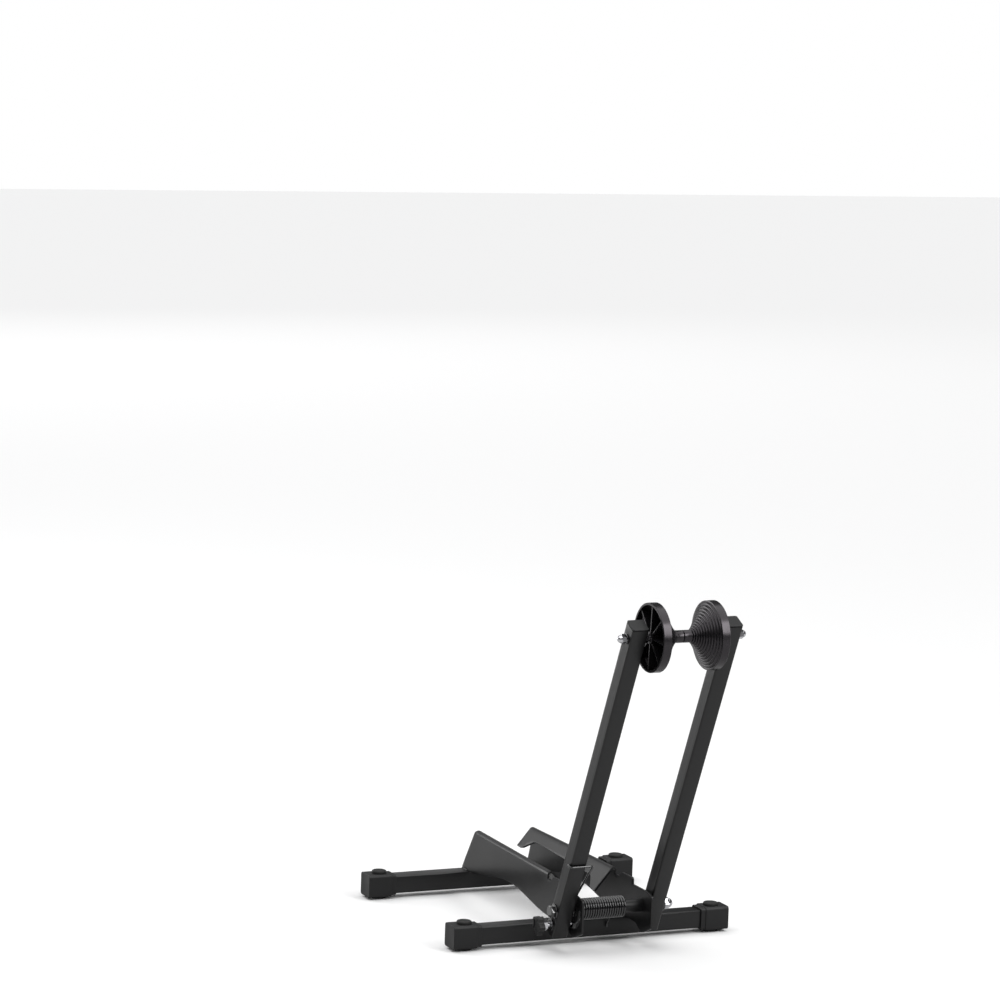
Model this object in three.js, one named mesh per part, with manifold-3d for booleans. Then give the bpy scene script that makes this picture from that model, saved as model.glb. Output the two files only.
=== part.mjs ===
// A floor bike rack: two cross tubes carry a pair of folded side plates that cradle the tyre, and a
// sprung pair of arms presses two cone rollers against the front of the wheel.
//
// Millimetres. +X runs along the cross tubes, +Y back towards the bicycle, +Z up. The rack is drawn with
// the middle of the front cross tube at Y = 0 and is then centred over the origin as a whole.

import * as THREE from 'three';
import { mergeVertices } from 'three/addons/utils/BufferGeometryUtils.js';
import Module from 'manifold-3d';

const wasm = await Module();
wasm.setup();

// ---------------------------------------------------------------- driving dimensions

// Clearances
const slipFit = 0.2; // radial, a moulding on or in a tube
const boltFit = 0.3; // radial, a bolt in its hole
const turnedGap = 0.3; // between pieces that touch inside the leaning arm frame

// Cross tubes and feet
const overallWidth = 360;
const tubeSpacing = 265; // front to rear cross tube, centre to centre
const crossTube = 22;
const crossTubeWall = 1.5;
const tubeCorner = 2;
const capLength = 36.5;
const capWall = 2.9;
const capEndWall = 3;
const capCorner = 3.5;
const capCollar = 6; // length of the lower inner end of a cap
const capCollarStep = 1.3;
const padDiameter = 18;
const padHeight = 3;
const buttonDiameter = 18;
const buttonHeight = 3.6;
const buttonChamfer = 0.8;

// Side plates
const plateSpan = 92; // over the outer faces of the two plates
const plateThickness = 2.5;
const plateRise = 52.5; // from the top of the cross tubes to the plates' top edge
const plateBellyRise = 14.7; // how far the lower edge arches up between the tubes
const plateTopLead = 28; // the top rear corner lies this far ahead of the bottom one
const leanAngle = 6.2; // degrees, of the rear upper part of a plate
const foldSoftness = 4; // how gently the lean begins
const foldStart = 24; // where the lean begins on the top edge, behind the front tube's centre
const wingInnerHalf = 27; // half the clear width between the wings, along the middle
const wingEndHalf = 17; // the same where the tyre rests, at both ends
const wingEndLength = 9; // the wings are this narrow for so far
const wingEndBlend = 26; // and widen over so much more
const wingSlope = 50; // degrees
const foldRadius = 3.5; // of the sheet's middle, at the top fold
const reliefDepth = 6; // notch between the wing and the lug
const reliefFront = 0;
const reliefBack = 22;
const lugRise = 50; // from the top of the front tube to the lug's top edge
const lugStepBack = 24; // where the top edge steps down, in front of the front tube's centre
const lugStepDrop = 8;
const lugStepSlant = 1;
const lugNoseLength = 16.5; // the last stretch of the top edge, which slopes down
const lugNoseDrop = 3;
const lugFrontMargin = 7; // from the lock stud's foremost place to the plates' front edge
const lugChinMargin = 12.5; // from its lowest place down to the lug's lowest edge
const lugChinAhead = 3; // middle of that edge, in front of the pivot
const lugChinWidth = 12;
const lugChinRise = 1.5; // of its two ends
const lugNeckBehind = 13; // behind the pivot, where the lower edge turns down to the lug
const lugNeckDrop = 1.7;

// Pivot
const pivotForward = 51; // in front of the front tube's centre
const pivotRise = 23.4; // over the top of the cross tubes
const pivotBolt = 8;
const pivotHeadFlats = 13;
const pivotHeadHeight = 5.3;
const pivotNutHex = 7; // length of the domed nut's hexagon
const pivotEndDepth = 2; // how far the bolt runs into the dome
const boltEndGap = 0.5; // from a bolt's end to the bottom of its blind hole
const domeShare = 0.44; // radius of a domed nut's dome, as a share of its flats
const pivotWasher = 18;
const pivotWasherThickness = 2;
const spacerDiameter = 18;
const spacerThickness = 3;
const sleeveDiameter = 16;

// Torsion spring
const springWire = 2.6;
const springCurlGap = 0.45; // between one curl and the next, at the least
const springPlay = 2.4; // radial, round the sleeve
const springEndGap = 0.6; // from the left plate's inner face to the first curl
const sleeveBare = 24.4; // length of sleeve that the spring leaves free at the right
const springHookHeight = 73; // along the arm, from the pivot to the hooked leg
const springHookReturn = 6;
const springFootDepth = 6.5; // the fixed leg's end under the top of the front tube
const springFootLength = 4;
const bendShare = 0.15; // how far a bend cuts its corner, as a share of the wire

// Arms
const armLean = 25; // degrees in front of upright, with a 26 inch wheel in the rack
const armTube = 20;
const armWall = 1.5;
const axleAlong = 387; // pivot to roller axle
const armBeyondAxle = 18.5;
const armBelowLock = 13.5;
const plugHead = 2;
const plugDepth = 9;

// Roller axle
const axleDiameter = 6;
const axleNutFlats = 10;
const axleNutThickness = 6;
const axleCapNutHex = 5.5; // length of a domed nut's hexagon
const axleWasher = 12;
const axleWasherThickness = 1.6;

// Rollers
const rollerDiameter = 79;
const rollerRimWidth = 10;
const rollerEndPlay = 1.5; // from a roller's back to the nut beside it
const rollerPlay = 0.3; // between the two hubs, on each side of the middle
const rollerHub = 14.4;
const rollerHubLength = 9; // plain hub in front of the cone
const rollerSteps = 12;
const rollerFlare = 1.3; // the cone's radius grows with this power of the distance
const rollerGroove = 1; // depth of the grooves between its ridges, square to the cone
const rollerWall = 2.6;
const rollerRibs = 8;
const rollerRibTurn = 24; // degrees, where the ribs happen to stand
const rollerRibThickness = 1.6;
const rollerRibInset = 1.5; // from the roller's back
const rollerRibSink = 0.5; // into the cone's wall
const rollerBoreFit = 0.25;

// Lock
const slotNutClearance = 1.5; // from the spring to the slot nut
const lockStud = 6;
const lockWasher = 15;
const lockWasherThickness = 1.6;
const knobDiameter = 24;
const knobHead = 7;
const knobNeck = 11; // from the washer to the knob's head
const knobLobes = 5;
const knobLobeDepth = 3.2;
const ferruleFlats = 12; // of the hexagon between the knob's head and the washer
const ferruleHex = 6; // length of that hexagon
const ferruleShank = 9; // diameter of the part that sits in the knob's head
const ferruleDepth = 5; // length of that part
const slotNutFlats = 10;
const slotNutThickness = 4;
const slotForward = 20; // degrees that the arms may lean further forward
const slotBack = 115; // degrees that they fold back

// ---------------------------------------------------------------- derived places

const radians = THREE.MathUtils.degToRad;
const capOuter = crossTube + 2 * (slipFit + capWall);
const tubeCentreZ = padHeight + capOuter / 2;
const tubeTop = tubeCentreZ + crossTube / 2;
const plateTop = tubeTop + plateRise;
const plateOuter = plateSpan / 2;
const plateInner = plateOuter - plateThickness;
const plateMiddle = plateOuter - plateThickness / 2;
const armInner = plateOuter + spacerThickness;
const armOuter = armInner + armTube;
const pivotY = -pivotForward;
const pivotHeight = tubeTop + pivotRise;
const capInner = overallWidth / 2 - capLength;
const capMiddleX = overallWidth / 2 - capLength / 2;
const pivotHole = pivotBolt + 2 * boltFit;
const axleHole = axleDiameter + 2 * boltFit;
const lockHole = lockStud + 2 * boltFit;
const springMeanRadius = sleeveDiameter / 2 + springPlay + springWire / 2;
const lockBelowPivot = springMeanRadius + springWire / 2 + slotNutClearance + slotNutFlats / 2;
const armBelowPivot = lockBelowPivot + armBelowLock;
const rollerLength = armInner - axleNutThickness - rollerEndPlay;
const joinDepth = 1; // how far pieces of one body run into each other before they are joined

// ---------------------------------------------------------------- geometry helpers

/** A closed geometry with shared vertices, as a solid that can be cut and joined. */
function solid(geometry) {
  const bare = geometry.clone();
  bare.deleteAttribute('normal');
  bare.deleteAttribute('uv');
  const merged = mergeVertices(bare, 1e-4);
  return new wasm.Manifold(new wasm.Mesh({
    numProp: 3,
    vertProperties: Float32Array.from(merged.attributes.position.array),
    triVerts: Uint32Array.from(merged.index.array),
  }));
}

/** The geometry of a solid. */
function geometryOf(body) {
  const mesh = body.getMesh();
  const geometry = new THREE.BufferGeometry();
  geometry.setAttribute('position', new THREE.BufferAttribute(Float32Array.from(mesh.vertProperties), 3));
  geometry.setIndex(new THREE.BufferAttribute(Uint32Array.from(mesh.triVerts), 1));
  geometry.computeVertexNormals();
  return geometry;
}

/** One geometry less several others. */
function cut(geometry, ...tools) {
  let body = solid(geometry);
  for (const tool of tools) {
    body = body.subtract(solid(tool));
  }
  return geometryOf(body);
}

/** Several geometries joined into one body. */
function join(geometry, ...others) {
  let body = solid(geometry);
  for (const other of others) {
    body = body.add(solid(other));
  }
  return geometryOf(body);
}

/** A copy mirrored to the other side of X = 0, with its faces still pointing out. */
function mirrored(geometry) {
  const copy = geometry.index ? geometry.clone() : mergeVertices(geometry.clone());
  copy.scale(-1, 1, 1);
  const order = copy.index.array;
  for (let i = 0; i < order.length; i += 3) {
    [order[i + 1], order[i + 2]] = [order[i + 2], order[i + 1]];
  }
  copy.computeVertexNormals();
  return copy;
}

/** A round, or with few sides a hexagonal, bar along X between two places. */
function barX(diameter, xStart, xEnd, y = 0, z = 0, sides = 24) {
  const length = Math.abs(xEnd - xStart);
  return new THREE.CylinderGeometry(diameter / 2, diameter / 2, length, sides)
    .rotateZ(Math.PI / 2)
    .translate((xStart + xEnd) / 2, y, z);
}

/** A hexagonal bar along X, given the distance across its flats. */
function hexX(flats, xStart, xEnd) {
  return barX(flats / Math.cos(Math.PI / 6), xStart, xEnd, 0, 0, 6);
}

/** A flat ring along X: a washer, spacer or sleeve. */
function ringX(outer, bore, xStart, xEnd) {
  const shape = new THREE.Shape().absarc(0, 0, outer / 2, 0, 2 * Math.PI);
  shape.holes.push(new THREE.Path().absarc(0, 0, bore / 2, 0, 2 * Math.PI));
  const depth = Math.abs(xEnd - xStart);
  return new THREE.ExtrudeGeometry(shape, { depth, bevelEnabled: false, curveSegments: 12 })
    .rotateY(Math.PI / 2)
    .translate(Math.min(xStart, xEnd), 0, 0);
}

/** A solid of revolution about X, from points of distance along X and radius. */
function turnedX(profile, sides) {
  const points = profile.map(([x, radius]) => new THREE.Vector2(radius, x));
  return new THREE.LatheGeometry(points, sides).rotateZ(-Math.PI / 2);
}

/** A square with rounded corners, as a shape or as a hole. */
function roundedSquare(Outline, size, corner) {
  const half = size / 2;
  const r = corner;
  const outline = new Outline();
  outline.moveTo(half, -half + r);
  outline.lineTo(half, half - r);
  outline.absarc(half - r, half - r, r, 0, Math.PI / 2);
  outline.lineTo(-half + r, half);
  outline.absarc(-half + r, half - r, r, Math.PI / 2, Math.PI);
  outline.lineTo(-half, -half + r);
  outline.absarc(-half + r, -half + r, r, Math.PI, 1.5 * Math.PI);
  outline.lineTo(half - r, -half);
  outline.absarc(half - r, -half + r, r, 1.5 * Math.PI, 2 * Math.PI);
  return outline;
}

/** A rounded square bar or tube that stands on the XY plane. */
function squareTube(size, corner, length, hole = 0) {
  const shape = roundedSquare(THREE.Shape, size, corner);
  if (hole > 0) {
    shape.holes.push(roundedSquare(THREE.Path, hole, corner / 2));
  }
  return new THREE.ExtrudeGeometry(shape, { depth: length, bevelEnabled: false, curveSegments: 2 });
}

/** A closed skin through rings of points that all have the same count. */
function lofted(rings) {
  const count = rings[0].length;
  const corners = rings.flat().flatMap((point) => point.toArray());
  const faces = [];
  for (let i = 0; i < rings.length - 1; i += 1) {
    for (let j = 0; j < count; j += 1) {
      const next = (j + 1) % count;
      const a = i * count + j;
      const b = i * count + next;
      faces.push(a, b, b + count, a, b + count, a + count);
    }
  }
  return { corners, faces, count };
}

/** An unbroken round wire along a list of points, with flat ends. */
function wire(points, diameter, sides) {
  const rings = [];
  let across = new THREE.Vector3(0, 0, 1);
  points.forEach((point, i) => {
    const before = points[Math.max(i - 1, 0)];
    const after = points[Math.min(i + 1, points.length - 1)];
    const along = after.clone().sub(before).normalize();
    across = across.clone().addScaledVector(along, -across.dot(along)).normalize();
    const over = along.clone().cross(across);
    const ring = [];
    for (let j = 0; j < sides; j += 1) {
      const angle = (2 * Math.PI * j) / sides;
      ring.push(point.clone()
        .addScaledVector(across, (Math.cos(angle) * diameter) / 2)
        .addScaledVector(over, (Math.sin(angle) * diameter) / 2));
    }
    rings.push(ring);
  });
  const { corners, faces, count } = lofted(rings);
  const last = (rings.length - 1) * count;
  for (let j = 1; j < count - 1; j += 1) {
    faces.push(0, j + 1, j);
    faces.push(last, last + j, last + j + 1);
  }
  const geometry = new THREE.BufferGeometry();
  geometry.setAttribute('position', new THREE.Float32BufferAttribute(corners, 3));
  geometry.setIndex(faces);
  geometry.computeVertexNormals();
  return geometry;
}

// ---------------------------------------------------------------- finishes

const powderCoat = new THREE.MeshStandardMaterial({ color: 0x1b1b1d, roughness: 0.5, metalness: 0.2 });
const blackMoulding = new THREE.MeshStandardMaterial({ color: 0x1a1a1c, roughness: 0.7, metalness: 0 });
const blackRubber = new THREE.MeshStandardMaterial({ color: 0x151515, roughness: 0.85, metalness: 0 });
const rollerNylon = new THREE.MeshStandardMaterial({ color: 0x161617, roughness: 0.45, metalness: 0 });
const chrome = new THREE.MeshStandardMaterial({ color: 0xd8d8da, roughness: 0.15, metalness: 1 });
const blackedSteel = new THREE.MeshStandardMaterial({ color: 0x222224, roughness: 0.3, metalness: 0.8 });

/** A named piece. */
function piece(name, geometry, material) {
  const mesh = new THREE.Mesh(geometry, material);
  mesh.name = name;
  return mesh;
}

const base = new THREE.Group();
const armFrame = new THREE.Group();
armFrame.position.set(0, pivotY, pivotHeight);
armFrame.rotation.x = radians(armLean);

// ---------------------------------------------------------------- cross tubes and feet

/** A cross tube, open at both ends, with its ends just inside the caps' end walls. */
function crossTubeGeometry() {
  const length = overallWidth - 2 * (capEndWall + slipFit);
  return squareTube(crossTube, tubeCorner, length, crossTube - 2 * crossTubeWall)
    .rotateY(Math.PI / 2)
    .translate(-length / 2, 0, 0);
}

/** A moulded cap for a tube's right end, centred on the tube. */
function capGeometry() {
  const outerEnd = overallWidth / 2;
  const collarSize = capOuter - 2 * capCollarStep;
  const collar = squareTube(collarSize, capCorner - capCollarStep, capCollar + joinDepth)
    .rotateY(Math.PI / 2)
    .translate(capInner, 0, 0);
  const body = squareTube(capOuter, capCorner, capLength - capCollar)
    .rotateY(Math.PI / 2)
    .translate(capInner + capCollar, 0, 0);
  const socket = squareTube(crossTube + 2 * slipFit, tubeCorner, capLength)
    .rotateY(Math.PI / 2)
    .translate(outerEnd - capEndWall - capLength, 0, 0);
  return cut(join(body, collar), socket);
}

/** A round rubber button or pad that stands on the XY plane. */
function discGeometry(diameter, height, chamfer) {
  const radius = diameter / 2;
  const profile = [[0, 0], [radius, 0], [radius, height - chamfer], [radius - chamfer, height], [0, height]];
  return new THREE.LatheGeometry(profile.map(([r, z]) => new THREE.Vector2(r, z)), 24).rotateX(Math.PI / 2);
}

for (const [row, y] of [['front', 0], ['rear', tubeSpacing]]) {
  const tube = piece(`${row}_cross_tube`, crossTubeGeometry(), powderCoat);
  tube.position.set(0, y, tubeCentreZ);
  base.add(tube);
  for (const [side, sign] of [['left', -1], ['right', 1]]) {
    const capShape = sign > 0 ? capGeometry() : mirrored(capGeometry());
    const cap = piece(`${row}_${side}_foot_cap`, capShape, blackMoulding);
    cap.position.set(0, y, tubeCentreZ);
    const button = piece(`${row}_${side}_top_button`,
      discGeometry(buttonDiameter, buttonHeight, buttonChamfer), blackRubber);
    button.position.set(sign * capMiddleX, y, tubeCentreZ + capOuter / 2);
    const pad = piece(`${row}_${side}_foot_pad`, discGeometry(padDiameter, padHeight, 0), blackRubber);
    pad.position.set(sign * capMiddleX, y, 0);
    base.add(cap, button, pad);
  }
}

// ---------------------------------------------------------------- side plates

const plateBack = tubeSpacing + crossTube / 2;
const bellyFront = crossTube / 2;
const bellyBack = tubeSpacing - crossTube / 2;

/** How far a plate leans in at a place on it: nothing below the slanting fold, then a steady slope. */
function leanIn(y, z) {
  const foldLength = Math.hypot(plateBack - foldStart, plateRise);
  const beyond = ((y - plateBack) * plateRise + (z - tubeTop) * (plateBack - foldStart)) / foldLength;
  return Math.tan(radians(leanAngle)) * 0.5 * (beyond + Math.hypot(beyond, foldSoftness));
}

/** Height of a plate's lower edge: on the tubes, and arched between them. */
function lowerEdge(y) {
  if (y <= bellyFront || y >= bellyBack) {
    return tubeTop;
  }
  return tubeTop + plateBellyRise * Math.sin((Math.PI * (y - bellyFront)) / (bellyBack - bellyFront)) ** 2;
}

/** Half the clear width at a wing's inner edge: narrow where the tyre rests, wide along the middle. */
function wingHalf(y) {
  const wingBack = plateBack - plateTopLead;
  const fromEnd = Math.min(y - reliefBack, wingBack - y);
  const share = THREE.MathUtils.smoothstep(fromEnd, wingEndLength, wingEndLength + wingEndBlend);
  return THREE.MathUtils.lerp(wingEndHalf, wingInnerHalf, share);
}

/** Middle line of the folded sheet at one place along the plate: up the wall, over the fold, down the wing. */
function sheetLine(y) {
  const wallRows = 6;
  const foldSteps = 6;
  const low = lowerEdge(y);
  const foldZ = plateTop - plateThickness / 2 - foldRadius;
  const foldX = plateMiddle - leanIn(y, foldZ) - foldRadius;
  const line = [];
  for (let i = 0; i < wallRows; i += 1) {
    const z = THREE.MathUtils.lerp(low, foldZ, i / wallRows);
    line.push(new THREE.Vector2(plateMiddle - leanIn(y, z), z));
  }
  for (let i = 0; i <= foldSteps; i += 1) {
    const turn = (radians(90 + wingSlope) * i) / foldSteps;
    line.push(new THREE.Vector2(foldX + foldRadius * Math.cos(turn), foldZ + foldRadius * Math.sin(turn)));
  }
  const wingStart = line[line.length - 1];
  const reach = Math.max(wingStart.x - wingHalf(y), foldRadius);
  line.push(new THREE.Vector2(wingStart.x - reach, wingStart.y - reach * Math.tan(radians(wingSlope))));
  return line;
}

/** The ring of points round a sheet of even thickness, at one place along the plate. */
function sheetRing(share) {
  const frontY = reliefBack;
  const bottomY = THREE.MathUtils.lerp(frontY, plateBack, share);
  const topY = THREE.MathUtils.lerp(frontY, plateBack - plateTopLead, share);
  const line = sheetLine(bottomY);
  const outer = [];
  const inner = [];
  line.forEach((point, i) => {
    const along = line[Math.min(i + 1, line.length - 1)].clone().sub(line[Math.max(i - 1, 0)]).normalize();
    if (i === 0) {
      along.set(0, 1);
    }
    const rise = THREE.MathUtils.clamp((point.y - tubeTop) / plateRise, 0, 1);
    const y = THREE.MathUtils.lerp(bottomY, topY, rise);
    const half = plateThickness / 2;
    outer.push(new THREE.Vector3(point.x + along.y * half, y, point.y - along.x * half));
    inner.push(new THREE.Vector3(point.x - along.y * half, y, point.y + along.x * half));
  });
  return { outer, inner };
}

/** The wall and wing of the right plate, from the relief notch to the back. */
function wallAndWing() {
  const stations = 20;
  const rings = [];
  for (let i = 0; i <= stations; i += 1) {
    const { outer, inner } = sheetRing(i / stations);
    rings.push([...inner, ...outer.reverse()]);
  }
  const { corners, faces, count } = lofted(rings);
  const last = stations * count;
  for (let j = 0; j < count / 2 - 1; j += 1) {
    const k = count - 1 - j;
    faces.push(j, k, k - 1, j, k - 1, j + 1);
    faces.push(last + j, last + k - 1, last + k, last + j, last + j + 1, last + k - 1);
  }
  const geometry = new THREE.BufferGeometry();
  geometry.setAttribute('position', new THREE.Float32BufferAttribute(corners, 3));
  geometry.setIndex(faces);
  return geometry;
}

/** The flat front of the right plate: over the front tube and out to the pivot lug. */
function lug() {
  const back = reliefBack + joinDepth;
  const front = pivotY - lockBelowPivot - lugFrontMargin;
  const chinY = pivotY - lugChinAhead;
  const chinZ = pivotHeight - lockBelowPivot - lugChinMargin;
  const crestZ = tubeTop + lugRise;
  const topZ = crestZ - lugStepDrop;
  const shape = new THREE.Shape();
  shape.moveTo(back, lowerEdge(back));
  shape.lineTo(crossTube / 2, tubeTop);
  shape.lineTo(-crossTube / 2, tubeTop);
  shape.lineTo(pivotY + lugNeckBehind, tubeTop - lugNeckDrop);
  shape.lineTo(chinY + lugChinWidth / 2, chinZ + lugChinRise);
  shape.quadraticCurveTo(chinY, chinZ, chinY - lugChinWidth / 2, chinZ + lugChinRise);
  shape.lineTo(front, tubeTop);
  shape.lineTo(front, topZ - lugNoseDrop);
  shape.lineTo(front + lugNoseLength, topZ);
  shape.lineTo(-lugStepBack - lugStepSlant, topZ);
  shape.lineTo(-lugStepBack, crestZ);
  shape.lineTo(reliefFront, crestZ);
  shape.quadraticCurveTo(reliefFront, crestZ - reliefDepth, (reliefFront + reliefBack) / 2, crestZ - reliefDepth);
  shape.lineTo(back, crestZ - reliefDepth);
  return new THREE.ExtrudeGeometry(shape, { depth: plateThickness, bevelEnabled: false, curveSegments: 6 })
    .rotateZ(Math.PI / 2)
    .rotateY(Math.PI / 2)
    .translate(plateInner, 0, 0);
}

/** The slot that the lock stud runs in: an arc round the pivot, from the folded to the foremost place. */
function lockSlot() {
  const width = lockHole;
  const first = -Math.PI / 2 + radians(armLean + slotForward);
  const last = -Math.PI / 2 + radians(armLean - slotBack);
  const shape = new THREE.Shape();
  shape.absarc(pivotY, pivotHeight, lockBelowPivot + width / 2, last, first);
  shape.absarc(pivotY + lockBelowPivot * Math.cos(first), pivotHeight + lockBelowPivot * Math.sin(first),
    width / 2, first, first + Math.PI);
  shape.absarc(pivotY, pivotHeight, lockBelowPivot - width / 2, first, last, true);
  shape.absarc(pivotY + lockBelowPivot * Math.cos(last), pivotHeight + lockBelowPivot * Math.sin(last),
    width / 2, last + Math.PI, last + 2 * Math.PI);
  return new THREE.ExtrudeGeometry(shape, { depth: 3 * plateThickness, bevelEnabled: false, curveSegments: 10 })
    .rotateZ(Math.PI / 2)
    .rotateY(Math.PI / 2)
    .translate(plateInner - plateThickness, 0, 0);
}

/** The right side plate, whole: wall, wing and lug in one sheet, with its pivot hole. */
function sidePlateGeometry() {
  const sheet = join(lug(), wallAndWing());
  const hole = barX(pivotHole, 0, armOuter, pivotY, pivotHeight);
  return cut(sheet, hole);
}

base.add(
  piece('right_side_plate', sidePlateGeometry(), powderCoat),
  piece('left_side_plate', mirrored(cut(sidePlateGeometry(), lockSlot())), powderCoat),
);

// ---------------------------------------------------------------- pivot

/** A domed nut along +X: hexagon and dome, bored from its flat face. */
function domedNut(flats, hexLength, boreDiameter, boreDepth) {
  const domeRadius = flats * domeShare;
  const domeSteps = 5;
  const profile = [[0, 0], [0, domeRadius]];
  for (let i = 0; i < domeSteps; i += 1) {
    const turn = (Math.PI / 2) * (i / domeSteps);
    profile.push([hexLength + domeRadius * Math.sin(turn), domeRadius * Math.cos(turn)]);
  }
  profile.push([hexLength + domeRadius, 0]);
  const body = join(hexX(flats, 0, hexLength), turnedX(profile, 20));
  return cut(body, barX(boreDiameter, -joinDepth, boreDepth, 0, 0, 16));
}

const pivotStack = new THREE.Group();
pivotStack.position.set(0, pivotY, pivotHeight);
base.add(pivotStack);

const pivotNutBore = pivotNutHex + pivotEndDepth + boltEndGap;
const pivotHeadX = -armOuter - pivotWasherThickness;
const pivotNutX = armOuter + pivotWasherThickness;
const pivotBolted = join(
  hexX(pivotHeadFlats, pivotHeadX - pivotHeadHeight, pivotHeadX),
  barX(pivotBolt, pivotHeadX - joinDepth, pivotNutX + pivotNutBore - boltEndGap),
);
pivotStack.add(
  piece('pivot_bolt', pivotBolted, blackedSteel),
  piece('pivot_sleeve', ringX(sleeveDiameter, pivotHole, -plateInner, plateInner), powderCoat),
);
const pivotNut = piece('pivot_domed_nut',
  domedNut(pivotHeadFlats, pivotNutHex, pivotHole, pivotNutBore), chrome);
pivotNut.position.x = pivotNutX;
pivotStack.add(pivotNut);
for (const [side, sign] of [['left', -1], ['right', 1]]) {
  pivotStack.add(
    piece(`${side}_pivot_spacer`,
      ringX(spacerDiameter, pivotHole, sign * plateOuter, sign * armInner), blackedSteel),
    piece(`${side}_pivot_washer`,
      ringX(pivotWasher, pivotHole, sign * armOuter, sign * (armOuter + pivotWasherThickness)), blackedSteel),
  );
}

// ---------------------------------------------------------------- torsion spring

/** Where a line from an outside point touches the spring's curls, as an angle round the pivot. */
function touchAngle(far, turn) {
  const reach = Math.hypot(far.y, far.z);
  return Math.atan2(far.z, far.y) + turn * Math.acos(springMeanRadius / reach);
}

/** The spring's whole path: hook over the left arm, leg, curls, leg, foot on the front tube. */
function springPath() {
  const half = springWire / 2;
  const bend = springWire * bendShare;
  const firstX = -plateInner + springEndGap + half;
  const lastX = plateInner - sleeveBare - half;
  const sideX = -armOuter - turnedGap - half;
  const lean = radians(armLean);
  const front = -(armTube / 2 + turnedGap + half);
  const onArm = (x, along, back) => new THREE.Vector3(x,
    back * Math.cos(lean) - along * Math.sin(lean), back * Math.sin(lean) + along * Math.cos(lean));
  const onCurl = (x, angle) => new THREE.Vector3(x,
    springMeanRadius * Math.cos(angle), springMeanRadius * Math.sin(angle));

  const corner = onArm(firstX, springHookHeight, front);
  const foot = new THREE.Vector3(lastX,
    pivotForward - crossTube / 2 - turnedGap - half, tubeTop - springFootDepth - pivotHeight);
  const turns = Math.floor((lastX - firstX) / (springWire + springCurlGap));
  const start = touchAngle(corner, -1);
  const finish = touchAngle(foot, 1) - 2 * Math.PI * turns;
  const stepsPerTurn = 8;
  const steps = Math.round(((start - finish) / (2 * Math.PI)) * stepsPerTurn);

  const path = [
    onArm(sideX, springHookHeight, front + springHookReturn),
    onArm(sideX, springHookHeight, front + springWire),
    onArm(sideX + half, springHookHeight, front + bend),
    onArm(sideX + springWire, springHookHeight, front),
    onArm(firstX - springWire, springHookHeight, front),
    onArm(firstX - bend, springHookHeight - bend, front),
    corner.clone().lerp(onCurl(firstX, start), springWire / springHookHeight),
  ];
  for (let i = 0; i <= steps; i += 1) {
    const share = i / steps;
    path.push(onCurl(THREE.MathUtils.lerp(firstX, lastX, share), THREE.MathUtils.lerp(start, finish, share)));
  }
  path.push(foot.clone().add(new THREE.Vector3(0, 0, springWire)), foot,
    foot.clone().add(new THREE.Vector3(0, 0, -springFootLength)));
  return path;
}

/** The least clear distance between stretches of a wire that aren't neighbours along it. */
function leastGap(path, diameter) {
  const curve = new THREE.CurvePath();
  for (let i = 1; i < path.length; i += 1) {
    curve.add(new THREE.LineCurve3(path[i - 1], path[i]));
  }
  const length = curve.getLength();
  const spacing = diameter / 3;
  const points = curve.getSpacedPoints(Math.ceil(length / spacing));
  const skip = Math.ceil((3 * diameter) / spacing);
  let least = Infinity;
  for (let i = 0; i < points.length; i += 1) {
    for (let j = i + skip; j < points.length; j += 1) {
      least = Math.min(least, points[i].distanceTo(points[j]));
    }
  }
  return least - diameter;
}

const springLine = springPath();
console.log(`torsion spring: least gap to itself ${leastGap(springLine, springWire).toFixed(2)} mm`);
pivotStack.add(piece('torsion_spring', wire(springLine, springWire, 5), blackedSteel));

// ---------------------------------------------------------------- arms

const armTop = axleAlong + armBeyondAxle - plugHead - turnedGap;

/** An arm's tube about X = 0, standing on the pivot, with its cross holes. */
function armGeometry(withLockHole) {
  const tube = squareTube(armTube, tubeCorner, armTop + armBelowPivot, armTube - 2 * armWall)
    .translate(0, 0, -armBelowPivot);
  const holes = [
    barX(pivotHole, -armTube, armTube),
    barX(axleHole, -armTube, armTube, 0, axleAlong),
  ];
  if (withLockHole) {
    holes.push(barX(lockHole, -armTube, armTube, 0, -lockBelowPivot));
  }
  return cut(tube, ...holes);
}

/** A moulded plug for the top of an arm: a flat head and a shank inside the tube. */
function plugGeometry() {
  const bore = armTube - 2 * armWall - 2 * turnedGap;
  const shank = squareTube(bore, tubeCorner / 2, plugDepth + plugHead / 2).translate(0, 0, -plugDepth);
  return join(squareTube(armTube, tubeCorner, plugHead), shank);
}

for (const [side, sign] of [['left', -1], ['right', 1]]) {
  const arm = piece(`${side}_arm`, armGeometry(sign < 0), powderCoat);
  const plug = piece(`${side}_arm_plug`, plugGeometry(), blackMoulding);
  arm.position.x = sign * (armInner + armTube / 2);
  plug.position.set(arm.position.x, 0, armTop + turnedGap);
  armFrame.add(arm, plug);
}

// ---------------------------------------------------------------- roller axle

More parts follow.
